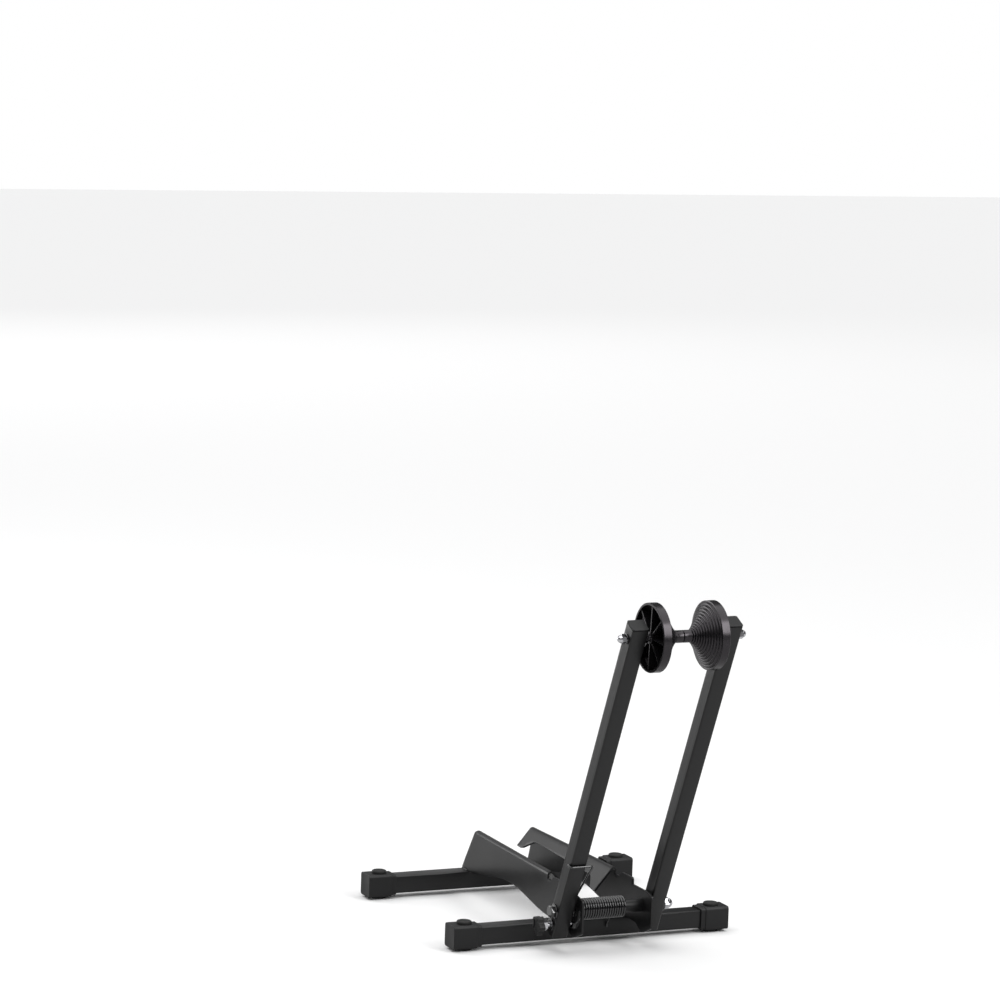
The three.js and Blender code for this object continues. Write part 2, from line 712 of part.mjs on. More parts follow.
const axleEnd = armOuter + axleWasherThickness + axleCapNutHex;
const axleParts = new THREE.Group();
axleParts.position.z = axleAlong;
armFrame.add(axleParts);
axleParts.add(piece('roller_axle', barX(axleDiameter, -axleEnd, axleEnd), chrome));
for (const [side, sign] of [['left', -1], ['right', 1]]) {
  const nutShape = cut(hexX(axleNutFlats, armInner - axleNutThickness, armInner),
    barX(axleHole, 0, armOuter, 0, 0, 16));
  const capNutShape = domedNut(axleNutFlats, axleCapNutHex, axleHole, axleCapNutHex + boltEndGap);
  capNutShape.translate(armOuter + axleWasherThickness, 0, 0);
  axleParts.add(
    piece(`${side}_axle_inner_nut`, sign > 0 ? nutShape : mirrored(nutShape), chrome),
    piece(`${side}_axle_domed_nut`, sign > 0 ? capNutShape : mirrored(capNutShape), chrome),
    piece(`${side}_axle_washer`,
      ringX(axleWasher, axleHole, sign * armOuter, sign * (armOuter + axleWasherThickness)), blackedSteel),
  );
}

// ---------------------------------------------------------------- rollers

/** The right cone roller: ridged cone towards the middle, rim, and a hollow back with ribs. */
function rollerGeometry() {
  const rim = rollerDiameter / 2;
  const hub = rollerHub / 2;
  const bore = axleDiameter / 2 + rollerBoreFit;
  const rimStart = rollerLength - rollerRimWidth;
  const ridge = (i) => new THREE.Vector2(
    THREE.MathUtils.lerp(rollerHubLength, rimStart, i / rollerSteps),
    THREE.MathUtils.lerp(hub, rim, (i / rollerSteps) ** rollerFlare),
  );
  const profile = [[rollerPlay, bore], [rollerPlay, hub], [rollerHubLength, hub]];
  for (let i = 1; i <= rollerSteps; i += 1) {
    const before = ridge(i - 1);
    const here = ridge(i);
    const along = here.clone().sub(before).normalize();
    const groove = before.lerp(here, 0.5);
    profile.push([groove.x + along.y * rollerGroove, groove.y - along.x * rollerGroove], here.toArray());
  }
  profile.push([rollerLength, rim], [rollerLength, rim - rollerWall]);
  profile.push([rimStart + rollerWall, rim - rollerWall], [rollerHubLength + rollerWall * 2, hub]);
  profile.push([rollerLength, hub], [rollerLength, bore], [rollerPlay, bore]);
  const ribInner = hub - joinDepth;
  const ribOuter = rim - rollerWall / 2;
  const shape = new THREE.Shape();
  shape.moveTo(rollerLength - rollerRibInset, ribInner);
  shape.lineTo(rollerLength - rollerRibInset, ribOuter);
  shape.lineTo(rimStart + rollerWall - rollerRibSink, ribOuter);
  shape.lineTo(rollerHubLength + 2 * rollerWall - rollerRibSink, ribInner);
  const rib = new THREE.ExtrudeGeometry(shape, { depth: rollerRibThickness, bevelEnabled: false })
    .translate(0, 0, -rollerRibThickness / 2);
  const ribs = Array.from({ length: rollerRibs },
    (_, i) => rib.clone().rotateX(radians(rollerRibTurn) + (2 * Math.PI * i) / rollerRibs));
  return join(turnedX(profile, 32), ...ribs);
}

for (const [side, sign] of [['left', -1], ['right', 1]]) {
  const shape = sign > 0 ? rollerGeometry() : mirrored(rollerGeometry());
  axleParts.add(piece(`${side}_roller`, shape, rollerNylon));
}

// ---------------------------------------------------------------- lock

const lock = new THREE.Group();
lock.position.z = -lockBelowPivot;
armFrame.add(lock);

const knobStart = -armOuter - lockWasherThickness;
const knobFace = knobStart - knobNeck;
const slotNutEnd = -plateInner + turnedGap;

/** A knob's lobed head, with a pocket for its ferrule. */
function knobGeometry() {
  const shape = new THREE.Shape();
  const steps = knobLobes * 5;
  for (let i = 0; i < steps; i += 1) {
    const angle = (2 * Math.PI * i) / steps;
    const radius = knobDiameter / 2 - (knobLobeDepth / 2) * (1 - Math.cos(knobLobes * angle));
    shape[i ? 'lineTo' : 'moveTo'](radius * Math.cos(angle), radius * Math.sin(angle));
  }
  const head = new THREE.ExtrudeGeometry(shape, { depth: knobHead, bevelEnabled: false })
    .rotateY(Math.PI / 2)
    .translate(knobFace - knobHead, 0, 0);
  const pocket = barX(ferruleShank + 2 * slipFit, knobFace - ferruleDepth - slipFit, knobFace + joinDepth);
  return cut(head, pocket);
}

/** The knob's steel ferrule: a hexagon with a round shank in the head, bored for the stud. */
function ferruleGeometry() {
  const shank = barX(ferruleShank, knobFace - ferruleDepth, knobFace + joinDepth);
  const body = join(hexX(ferruleFlats, knobFace, knobFace + ferruleHex), shank);
  return cut(body, barX(lockHole, knobFace, knobFace + ferruleHex + joinDepth, 0, 0, 16));
}

lock.add(
  piece('lock_knob', knobGeometry(), blackMoulding),
  piece('knob_ferrule', ferruleGeometry(), chrome),
  piece('lock_stud', barX(lockStud, knobFace + boltEndGap, slotNutEnd + slotNutThickness, 0, 0, 16), chrome),
  piece('lock_washer', ringX(lockWasher, lockHole, knobStart, -armOuter), blackedSteel),
);
const slotNut = new THREE.BoxGeometry(slotNutThickness, slotNutFlats, slotNutFlats)
  .translate(slotNutEnd + slotNutThickness / 2, 0, 0);
lock.add(piece('slot_nut',
  cut(slotNut, barX(lockHole, -armInner, 0, 0, 0, 16)),
  blackedSteel));

// ---------------------------------------------------------------- the whole rack

const rack = new THREE.Group();
rack.add(base, armFrame);
rack.updateMatrixWorld(true);
const bounds = new THREE.Box3().setFromObject(rack, true);
rack.position.y = -(bounds.min.y + bounds.max.y) / 2;

export default rack;
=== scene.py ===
"""The looks of a floor bike rack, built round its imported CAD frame.

Sizes are in millimetres and are turned to metres where they reach Blender. Places are given as the CAD gives
them: X across the rack, Y back from the middle of the front cross tube, Z up from the floor. Pieces of the
swinging arms are given in the arms' own frame: X across, Z along the arms, from the middle of the pivot.
"""

from __future__ import annotations

import logging
import math
from collections.abc import Callable, Iterator, Sequence
from contextlib import contextmanager
from dataclasses import dataclass, field
from enum import Enum
from itertools import pairwise
from typing import Any

import bmesh
import bpy
from mathutils import Matrix, Vector

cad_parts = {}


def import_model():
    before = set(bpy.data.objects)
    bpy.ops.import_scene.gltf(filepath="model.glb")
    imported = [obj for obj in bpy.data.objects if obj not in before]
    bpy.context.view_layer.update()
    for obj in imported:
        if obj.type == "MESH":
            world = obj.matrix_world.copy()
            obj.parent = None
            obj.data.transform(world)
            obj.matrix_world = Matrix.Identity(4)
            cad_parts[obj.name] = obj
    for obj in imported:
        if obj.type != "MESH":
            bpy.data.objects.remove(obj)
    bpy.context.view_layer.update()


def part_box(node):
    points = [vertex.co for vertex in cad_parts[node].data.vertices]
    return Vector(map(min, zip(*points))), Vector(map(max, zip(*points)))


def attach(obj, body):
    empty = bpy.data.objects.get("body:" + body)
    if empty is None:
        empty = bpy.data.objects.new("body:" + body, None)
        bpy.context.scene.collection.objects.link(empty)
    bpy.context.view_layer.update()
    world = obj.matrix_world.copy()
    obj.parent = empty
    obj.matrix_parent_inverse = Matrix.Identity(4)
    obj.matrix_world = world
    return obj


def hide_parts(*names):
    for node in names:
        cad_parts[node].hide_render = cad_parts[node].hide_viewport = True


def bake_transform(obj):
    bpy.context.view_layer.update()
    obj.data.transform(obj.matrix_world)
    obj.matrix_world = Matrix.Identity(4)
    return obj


Piece = bpy.types.Object
Pair = tuple[float, float]

MM = 0.001
SIDES = {"left": -1, "right": 1}
ACROSS = Vector((1, 0, 0))
UP = Vector((0, 0, 1))
MIRROR = Matrix.Diagonal((-1, 1, 1, 1))
STANDING = Matrix.Rotation(-math.pi / 2, 4, "Y")  # turns a piece that looks along X to look up
FACING = 0.99  # cosine from which a face looks along an axis
SHARP = 32.0  # degrees from which an edge is eased
DOUBLES = 1e-6  # metres within which two vertices are one
CORNER_STEPS = 6  # faces round the corner of a tube or moulding
CLEAR = 1.0  # how far a cutter stands out of what it cuts
log = logging.getLogger("bike_rack")


# ---------------------------------------------------------------- modelling steps


class Part(Enum):
    """What a selection in edit mode is made of."""

    VERT = "verts"
    EDGE = "edges"
    FACE = "faces"


def take(obj: Piece) -> Piece:
    """Leaves edit mode and makes one object the only selected one.

    Args:
        obj: the object to work on.

    Returns:
        The same object.
    """
    if bpy.context.mode != "OBJECT":
        bpy.ops.object.mode_set(mode="OBJECT")
    bpy.ops.object.select_all(action="DESELECT")
    obj.select_set(True)
    bpy.context.view_layer.objects.active = obj
    return obj


@contextmanager
def editing(obj: Piece) -> Iterator[None]:
    """Edit mode on one object, with nothing selected at the start.

    Args:
        obj: the object to edit.

    Returns:
        The context, which ends in object mode.
    """
    take(obj)
    bpy.ops.object.mode_set(mode="EDIT")
    bpy.ops.mesh.select_mode(type="VERT")
    bpy.ops.mesh.select_all(action="DESELECT")
    yield
    bpy.ops.object.mode_set(mode="OBJECT")


def pick(obj: Piece, part: Part, wanted: Callable[[Any], bool]) -> None:
    """Selects, in edit mode, the parts of a mesh that a test accepts.

    Args:
        obj: the object in edit mode.
        part: whether the test reads vertices, edges or faces.
        wanted: says whether one of them is selected.
    """
    bpy.ops.mesh.select_mode(type=part.name)
    bpy.ops.mesh.select_all(action="DESELECT")
    mesh = bmesh.from_edit_mesh(obj.data)
    for item in getattr(mesh, part.value):
        if wanted(item):
            item.select_set(True)
    mesh.select_flush_mode()
    bmesh.update_edit_mesh(obj.data)


def faces_along(axis: Vector) -> Callable[[Any], bool]:
    """A test for faces that look along an axis."""
    return lambda face: face.normal.dot(axis) > FACING


def round_corners(obj: Piece, axis: Vector, least: float, radius: float) -> None:
    """Rounds, in edit mode, the long edges that run along an axis.

    Args:
        obj: the object in edit mode.
        axis: the direction of the edges.
        least: the length over which an edge counts as long, in millimetres.
        radius: of the rounding, in millimetres.
    """
    pick(obj, Part.EDGE, lambda edge: abs((edge.verts[0].co - edge.verts[1].co).dot(axis)) > least * MM)
    bpy.ops.mesh.bevel(offset=radius * MM, segments=CORNER_STEPS, affect="EDGES")


def extrude(step: Vector) -> None:
    """Extrudes what is picked, by a step in metres."""
    bpy.ops.mesh.extrude_region_move(TRANSFORM_OT_translate={"value": step})


def inset(width: float) -> None:
    """Insets what is picked, by a width in millimetres."""
    bpy.ops.mesh.inset(thickness=width * MM)


def mend() -> None:
    """Frees the mesh in edit mode of doubles and turns its faces outwards."""
    bpy.ops.mesh.select_all(action="SELECT")
    bpy.ops.mesh.remove_doubles(threshold=DOUBLES)
    bpy.ops.mesh.normals_make_consistent(inside=False)


def modify(obj: Piece, kind: str, **settings: Any) -> Piece:
    """Adds one modifier and applies it.

    Args:
        obj: the object to change.
        kind: Blender's name for the modifier's type.
        **settings: the modifier's properties.

    Returns:
        The same object.
    """
    take(obj)
    modifier = obj.modifiers.new(kind.title(), kind)
    for key, value in settings.items():
        setattr(modifier, key, value)
    bpy.ops.object.modifier_apply(modifier=modifier.name)
    return obj


def ease_edges(obj: Piece, width: float, segments: int = 2) -> Piece:
    """Rounds every sharp edge of an object.

    Args:
        obj: the object to change.
        width: of the rounding, in millimetres.
        segments: how many faces each rounding has.

    Returns:
        The same object.
    """
    limit = math.radians(SHARP)
    return modify(obj, "BEVEL", width=width * MM, segments=segments, limit_method="ANGLE", angle_limit=limit)


def combine(obj: Piece, tool: Piece, how: str = "DIFFERENCE") -> Piece:
    """Cuts, joins or intersects an object with a tool, which is used up.

    Args:
        obj: the object to change.
        tool: the closed mesh to do it with.
        how: Blender's name for the operation.

    Returns:
        The changed object.
    """
    modify(obj, "BOOLEAN", operation=how, object=tool, solver="EXACT")
    bpy.data.objects.remove(tool)
    return obj


def added(name: str) -> Piece:
    """Names the primitive that was added last, and applies its place.

    Args:
        name: for the object and its mesh.

    Returns:
        The primitive.
    """
    obj = bpy.context.object
    obj.name = obj.data.name = name
    bpy.ops.object.transform_apply(location=True, rotation=True, scale=True)
    return obj


def linked(name: str, data: bpy.types.ID) -> Piece:
    """Puts a new object into the scene.

    Args:
        name: the object's name.
        data: its mesh, curve, light or camera.

    Returns:
        The object.
    """
    obj = bpy.data.objects.new(name, data)
    bpy.context.scene.collection.objects.link(obj)
    return obj


def from_points(name: str, points: Sequence[Sequence[float]], faces: list[list[int]]) -> Piece:
    """A mesh made of points and the faces between them.

    Args:
        name: the object's name.
        points: three numbers each, in millimetres.
        faces: the numbers of the points round each face.

    Returns:
        The object.
    """
    mesh = bpy.data.meshes.new(name)
    mesh.from_pydata([[value * MM for value in point] for point in points], [], faces)
    return linked(name, mesh)


def put(obj: Piece, where: Matrix) -> Piece:
    """Moves an object's mesh, and keeps its faces outwards if that mirrors it.

    Args:
        obj: the object.
        where: how its mesh lies afterwards, seen from before.

    Returns:
        The same object.
    """
    obj.data.transform(where)
    if where.determinant() < 0:
        obj.data.flip_normals()
    return obj


def copied(obj: Piece, name: str, where: Matrix | None = None) -> Piece:
    """A copy with a mesh of its own, placed by a matrix.

    Args:
        obj: the object to copy.
        name: the copy's name.
        where: how the copy lies, seen from the original.

    Returns:
        The copy.
    """
    twin = linked(name, obj.data.copy())
    twin.data.name = name
    return twin if where is None else put(twin, where)


def joined(name: str, parts: Sequence[Piece]) -> Piece:
    """Makes several objects one.

    Args:
        name: the name of the whole.
        parts: the objects, of which the first one keeps its place.

    Returns:
        The whole.
    """
    take(parts[0])
    for part in parts:
        part.select_set(True)
    bpy.ops.object.join()
    parts[0].name = parts[0].data.name = name
    return parts[0]


def moved(x: float = 0, y: float = 0, z: float = 0, sign: int = 1) -> Matrix:
    """A move in millimetres, turned to look along -X where sign is -1."""
    return Matrix.Translation((x * MM, y * MM, z * MM)) @ Matrix.Diagonal((sign, 1, 1, 1))


# ---------------------------------------------------------------- plain shapes


def block(name: str, size: Sequence[float], centre: Sequence[float]) -> Piece:
    """A box, to be shaped further.

    Args:
        name: the object's name.
        size: its three sides, in millimetres.
        centre: its middle, in millimetres.

    Returns:
        The box.
    """
    bpy.ops.mesh.primitive_cube_add(size=1, location=Vector(centre) * MM, scale=Vector(size) * MM)
    return added(name)


def rod(name: str, radius: float, start: float, end: float, vertices: int = 48) -> Piece:
    """A bar along X, to be shaped further or to cut with.

    Args:
        name: the object's name.
        radius: in millimetres, out to its vertices.
        start: X of one end, in millimetres.
        end: X of the other end.
        vertices: how many it has round.

    Returns:
        The bar.
    """
    bpy.ops.mesh.primitive_cylinder_add(
        vertices=vertices,
        radius=radius * MM,
        depth=(end - start) * MM,
        location=((start + end) / 2 * MM, 0, 0),
        rotation=(0, math.pi / 2, 0),
    )
    return added(name)


def turned(name: str, profile: Sequence[Pair], steps: int = 64) -> Piece:
    """A piece turned about X, drawn point by point and spun.

    Args:
        name: the object's name.
        profile: distances along X and radii, in millimetres, once round the section.
        steps: how many faces it has round.

    Returns:
        The turned piece.
    """
    bpy.ops.mesh.primitive_plane_add(size=1)
    obj = added(name)
    points = [Vector((x, 0, radius)) * MM for x, radius in profile]
    with editing(obj):
        bpy.ops.mesh.select_all(action="SELECT")
        bpy.ops.mesh.merge(type="CENTER")
        bpy.ops.transform.translate(value=points[0])
        for here, there in pairwise(points):
            extrude(there - here)
        bpy.ops.mesh.select_all(action="SELECT")
        bpy.ops.mesh.spin(steps=steps, angle=2 * math.pi, center=(0, 0, 0), axis=ACROSS)
        mend()
    return obj


def pin(name: str, radius: float, start: float, end: float, chamfer: float) -> Piece:
    """A turned pin along X, chamfered at its far end.

    Args:
        name: the object's name.
        radius: in millimetres.
        start: X of its plain end.
        end: X of its chamfered end.
        chamfer: how far that end is cut back.

    Returns:
        The pin.
    """
    far = [(end - chamfer, radius), (end, radius - chamfer), (end, 0)]
    return turned(name, [(start, 0), (start, radius), *far])


def collar(name: str, outer: float, bore: float, start: float, end: float, ease: float = 0.3) -> Piece:
    """A turned ring with eased rims: a washer, spacer or sleeve.

    Args:
        name: the object's name.
        outer: outside diameter, in millimetres.
        bore: inside diameter.
        start: X of one face.
        end: X of the other face.
        ease: how far its rims are rounded.

    Returns:
        The ring.
    """
    near, far = min(start, end), max(start, end)
    section = [(near, bore / 2), (near, outer / 2), (far, outer / 2), (far, bore / 2), (near, bore / 2)]
    return ease_edges(turned(name, section), ease)


def arc(radius: float, first: float, last: float, steps: int, centre: Pair = (0.0, 0.0)) -> list[Pair]:
    """Points along an arc.

    Args:
        radius: in millimetres.
        first: angle of the first point, in radians.
        last: angle of the last point.
        steps: how many steps lie between them.
        centre: of the arc, in millimetres.

    Returns:
        The points, both ends included.
    """
    turns = [first + (last - first) * i / steps for i in range(steps + 1)]
    return [(centre[0] + radius * math.cos(turn), centre[1] + radius * math.sin(turn)) for turn in turns]


def hexagon(name: str, flats: float, length: float, face_share: float = 0.96) -> Piece:
    """A hexagon along X with both ends chamfered, as a nut's are.

    Args:
        name: the object's name.
        flats: width across the flats, in millimetres.
        length: from X = 0.
        face_share: the round face's diameter, as a share of the width across the flats.

    Returns:
        The hexagon.
    """
    corner = flats / 2 / math.cos(math.pi / 6)
    face = flats / 2 * face_share
    slant = (corner - face) * math.tan(math.pi / 6)
    body = rod(name, corner, 0, length, vertices=6)
    outline = [(0, 0), (0, face), (slant, corner), (length - slant, corner), (length, face), (length, 0)]
    return combine(body, turned("chamfer", outline, 48), "INTERSECT")


def domed_nut(name: str, flats: float, length: float, bore: float, dome_share: float = 0.44) -> Piece:
    """A nut with a dome over its outer end.

    Args:
        name: the object's name.
        flats: width across the flats, in millimetres.
        length: of the hexagon.
        bore: diameter of the blind hole.
        dome_share: the dome's radius, as a share of the width across the flats.

    Returns:
        The nut, on X = 0.
    """
    radius = flats * dome_share
    dome = [(length / 2, 0), (length / 2, radius), *arc(radius, math.pi / 2, 0, 12, (length, 0))]
    body = combine(hexagon(name, flats, length), turned("dome", dome), "UNION")
    combine(body, rod("bore", bore / 2, -CLEAR, length + 0.5))
    return ease_edges(body, 0.15)


def square_tube(name: str, side: float, corner: float, length: float, wall: float) -> Piece:
    """A drawn square tube along Z from 0, open at both ends.

    Args:
        name: the object's name.
        side: outside width, in millimetres.
        corner: outside radius of its corners.
        length: how long it is.
        wall: how thick its wall is.

    Returns:
        The tube.
    """
    tube = block(name, (side, side, length), (0, 0, length / 2))
    with editing(tube):
        pick(tube, Part.FACE, lambda face: abs(face.normal.z) > FACING)
        bpy.ops.mesh.delete(type="FACE")
        round_corners(tube, UP, length / 2, corner)
    modify(tube, "SOLIDIFY", thickness=wall * MM, offset=-1, use_even_offset=True)
    return ease_edges(tube, 0.25)


def rounded_path(points: Sequence[Vector], radius: float, steps: int = 6) -> list[Vector]:
    """A path whose corners are rounded.

    Args:
        points: the corners, ends included.
        radius: how far from a corner the rounding starts.
        steps: points on each rounded corner.

    Returns:
        The rounded path's points.
    """
    path = [points[0]]
    for before, corner, after in zip(points, points[1:], points[2:], strict=False):
        start = corner + (before - corner).normalized() * min(radius, (before - corner).length / 2)
        end = corner + (after - corner).normalized() * min(radius, (after - corner).length / 2)
        for i in range(steps + 1):
            share = i / steps
            path.append(start.lerp(corner, share).lerp(corner.lerp(end, share), share))
    path.append(points[-1])
    return path


def wire(name: str, path: Sequence[Vector], diameter: float) -> Piece:
    """A round wire along a path, as a mesh.

    Args:
        name: the object's name.
        path: its centre line, in millimetres.
        diameter: in millimetres.

    Returns:
        The wire.
    """
    curve = bpy.data.curves.new(name, "CURVE")
    curve.dimensions = "3D"
    curve.bevel_depth = diameter / 2 * MM
    curve.bevel_resolution = 3
    curve.use_fill_caps = True
    spline = curve.splines.new("POLY")
    spline.points.add(len(path) - 1)
    for point, place in zip(spline.points, path, strict=True):
        point.co = (*(place * MM), 1)
    take(linked(name, curve))
    bpy.ops.object.convert(target="MESH")
    return bpy.context.object


# ---------------------------------------------------------------- finishes


def linear(colour: str) -> tuple[float, float, float, float]:
    """An sRGB hex colour as the linear one that Blender's sockets take."""
    channels = [int(colour[i : i + 2], 16) / 255 for i in (1, 3, 5)]
    return (*(c / 12.92 if c <= 0.04045 else ((c + 0.055) / 1.055) ** 2.4 for c in channels), 1)


def bare_tree(owner: bpy.types.Material | bpy.types.World) -> bpy.types.NodeTree:
    """The node tree of a new material or world, emptied.

    Args:
        owner: the material or world.

    Returns:
        The tree.
    """
    owner.use_nodes = True
    owner.node_tree.nodes.clear()
    return owner.node_tree


def add_node(
    tree: bpy.types.NodeTree, kind: str, inputs: dict[str, Any] | None = None, **settings: Any
) -> bpy.types.Node:
    """Adds one node.

    Args:
        tree: the node tree that it goes into.
        kind: Blender's name for the node's type.
        inputs: for each input, a value or the output that it is linked to.
        **settings: the node's properties.

    Returns:
        The node.
    """
    node = tree.nodes.new(kind)
    for key, value in settings.items():
        setattr(node, key, value)
    for socket, value in (inputs or {}).items():
        if isinstance(value, bpy.types.NodeSocket):
            tree.links.new(value, node.inputs[socket])
        else:
            node.inputs[socket].default_value = value
    return node


def noise(
    tree: bpy.types.NodeTree, place: bpy.types.NodeSocket, size: float, detail: float
) -> bpy.types.NodeSocket:
    """Adds noise to a node tree.

    Args:
        tree: the node tree.
        place: the coordinates that it reads.
        size: of its patches, in millimetres.
        detail: how many finer layers it has.

    Returns:
        The noise, from 0 to 1.
    """
    inputs = {"Vector": place, "Scale": 1 / (size * MM), "Detail": detail}
    return add_node(tree, "ShaderNodeTexNoise", inputs).outputs["Fac"]


class Relief(Enum):
    """The fine relief of a surface, by how it was made."""

    ORANGE_PEEL = "powder that flowed out in the oven"
    SPARK_GRAIN = "the grain of a spark-eroded mould"
    FLOW = "a polished mould, with faint flow marks"
    DRAWN = "fine lines from drawing or rolling"


@dataclass(frozen=True)
class Finish:
    """A surface finish, as one material.

    Attributes:
        name: the material's name.
        slot: the record's material slot that it belongs to.
        colour: sRGB hex.
        worn: sRGB hex of its dustier or more rubbed places.
        roughness: in its smoothest places.
        spread: how much rougher it is in others.
        ior: index of refraction.
        relief: kind of fine relief.
        grain: spacing of that relief, in millimetres.
        depth: its height, in millimetres.
        clouds: spacing of the slow changes in colour and roughness, in millimetres.
        metallic: 0 or 1.
        coat: weight of a clear gloss over it.
        coat_roughness: of that gloss.
        tint: sRGB hex of its reflections.
        cloud_range: the levels of noise between which colour and roughness change.
        stretch: scale of a drawn relief along X.
    """

    name: str
    slot: str
    colour: str
    worn: str
    roughness: float
    spread: float
    ior: float
    relief: Relief
    grain: float
    depth: float
    clouds: float
    metallic: float = 0.0
    coat: float = 0.0
    coat_roughness: float = 0.12
    tint: str = "#ffffff"
    cloud_range: Pair = (0.3, 0.7)
    stretch: float = 0.08

    def material(self) -> bpy.types.Material:
        """The material, made once and kept under its name.

        Returns:
            The material.
        """
        known = bpy.data.materials.get(self.name)
        if known is not None:
            return known
        material = bpy.data.materials.new(self.name)
        tree = bare_tree(material)
        place = add_node(tree, "ShaderNodeTexCoord").outputs["Object"]
        clouds = noise(tree, place, self.clouds, 3)
        fine = self._height(tree, place)
        tones = {"Factor": clouds, "A": linear(self.colour), "B": linear(self.worn)}
        colour = add_node(tree, "ShaderNodeMix", tones, data_type="RGBA")
        low, high = self.cloud_range
        levels = {"Value": clouds, "From Min": low, "From Max": high}
        levels |= {"To Min": self.roughness, "To Max": self.roughness + self.spread}
        rough = add_node(tree, "ShaderNodeMapRange", levels)
        bump = add_node(tree, "ShaderNodeBump", {"Height": fine, "Strength": 1.0, "Distance": self.depth * MM})
        surface = {
            "Base Color": colour.outputs["Result"],
            "Roughness": rough.outputs["Result"],
            "Normal": bump.outputs["Normal"],
            "Metallic": self.metallic,
            "IOR": self.ior,
            "Coat Weight": self.coat,
            "Coat Roughness": self.coat_roughness,
            "Specular Tint": linear(self.tint),
        }
        shader = add_node(tree, "ShaderNodeBsdfPrincipled", surface)
        add_node(tree, "ShaderNodeOutputMaterial", {"Surface": shader.outputs["BSDF"]})
        return material

    def _height(self, tree: bpy.types.NodeTree, place: bpy.types.NodeSocket) -> bpy.types.NodeSocket:
        """Adds the fine relief to a node tree.

        Args:
            tree: the node tree.
            place: the coordinates that it reads.

        Returns:
            The relief's height, from 0 to 1.
        """
        if self.relief is Relief.SPARK_GRAIN:
            inputs = {"Vector": place, "Scale": 1 / (self.grain * MM)}
            return add_node(tree, "ShaderNodeTexVoronoi", inputs, feature="SMOOTH_F1").outputs["Distance"]
        if self.relief is Relief.DRAWN:
            lines = add_node(tree, "ShaderNodeMapping", {"Vector": place, "Scale": (self.stretch, 1, 1)})
            return noise(tree, lines.outputs["Vector"], self.grain, 2)
        return noise(tree, place, self.grain, 1 if self.relief is Relief.ORANGE_PEEL else 4)


# Epoxy-polyester powder coat on steel: satin black, a fine orange peel, a touch paler where it is rubbed.
POWDER_COAT = Finish(
    name="satin_powder_coat", slot="powder_coated_steel", colour="#0d0d0e", worn="#151516",
    roughness=0.31, spread=0.08, ior=1.5, relief=Relief.ORANGE_PEEL, grain=1.5, depth=0.012, clouds=60.0,
)  # fmt: skip
# Polypropylene moulded in a spark-eroded tool: matte, with a grain of about half a millimetre.
POLYPROPYLENE = Finish(
    name="moulded_polypropylene", slot="black_moulding", colour="#0d0d0e", worn="#151516",
    roughness=0.45, spread=0.12, ior=1.49, relief=Relief.SPARK_GRAIN, grain=0.6, depth=0.02, clouds=25.0,
)  # fmt: skip
# Nitrile rubber: dull, a little chalky.
NITRILE_RUBBER = Finish(
    name="nitrile_rubber", slot="black_rubber", colour="#161616", worn="#222221",
    roughness=0.68, spread=0.15, ior=1.52, relief=Relief.FLOW, grain=0.8, depth=0.02, clouds=9.0,
)  # fmt: skip
# Nylon 6 from a polished mould: black with a soft sheen and faint flow marks.
NYLON = Finish(
    name="moulded_nylon", slot="black_nylon", colour="#0e0e0f", worn="#151416", tint="#fff6fe",
    roughness=0.23, spread=0.08, ior=1.53, relief=Relief.FLOW, grain=6.0, depth=0.02, clouds=20.0,
)  # fmt: skip
# Decorative chrome over nickel: bright, with a faint waviness.
CHROME = Finish(
    name="decorative_chrome", slot="chromed_steel", colour="#dcdcdf", worn="#c9c9cd", metallic=1.0,
    roughness=0.07, spread=0.1, ior=1.5, relief=Relief.FLOW, grain=4.0, depth=0.01, clouds=12.0,
)  # fmt: skip
# Spring and fastener steel, blackened and lacquered: near black, with small sharp highlights.
BLACK_OXIDE = Finish(
    name="lacquered_black_oxide", slot="blackened_steel", colour="#0b0b0c", worn="#131315", coat=0.9,
    roughness=0.1, spread=0.08, ior=1.6, relief=Relief.DRAWN, grain=0.5, depth=0.006, clouds=8.0,
)  # fmt: skip


# ---------------------------------------------------------------- placing and dressing


@dataclass(frozen=True)
class Frame:
    """Where the rack's own frame lies in the row frame.

    Attributes:
        shift: Y of the front cross tube's middle, in metres.
        pivot: place of the arms' pivot, in millimetres from the front cross tube's middle and the floor.
        lean: how far the arms lean forwards, in degrees.
    """

    shift: float
    pivot: Vector = field(default_factory=lambda: Vector((0, -51, 51.5)))
    lean: float = 25.0

    @property
    def base(self) -> Matrix:
        """How a piece of the base is placed."""
        return Matrix.Translation((0, self.shift, 0))

    @property
    def hinge(self) -> Matrix:
        """How a piece of the base that lies about the pivot is placed."""
        return self.base @ Matrix.Translation(self.pivot * MM)

    @property
    def arms(self) -> Matrix:
        """How a piece of the arms is placed."""
        return self.hinge @ Matrix.Rotation(math.radians(self.lean), 4, "X")

    @property
    def axle(self) -> Matrix:
        """How a piece on the roller axle is placed."""
        return self.arms @ moved(z=AxleSet.height)


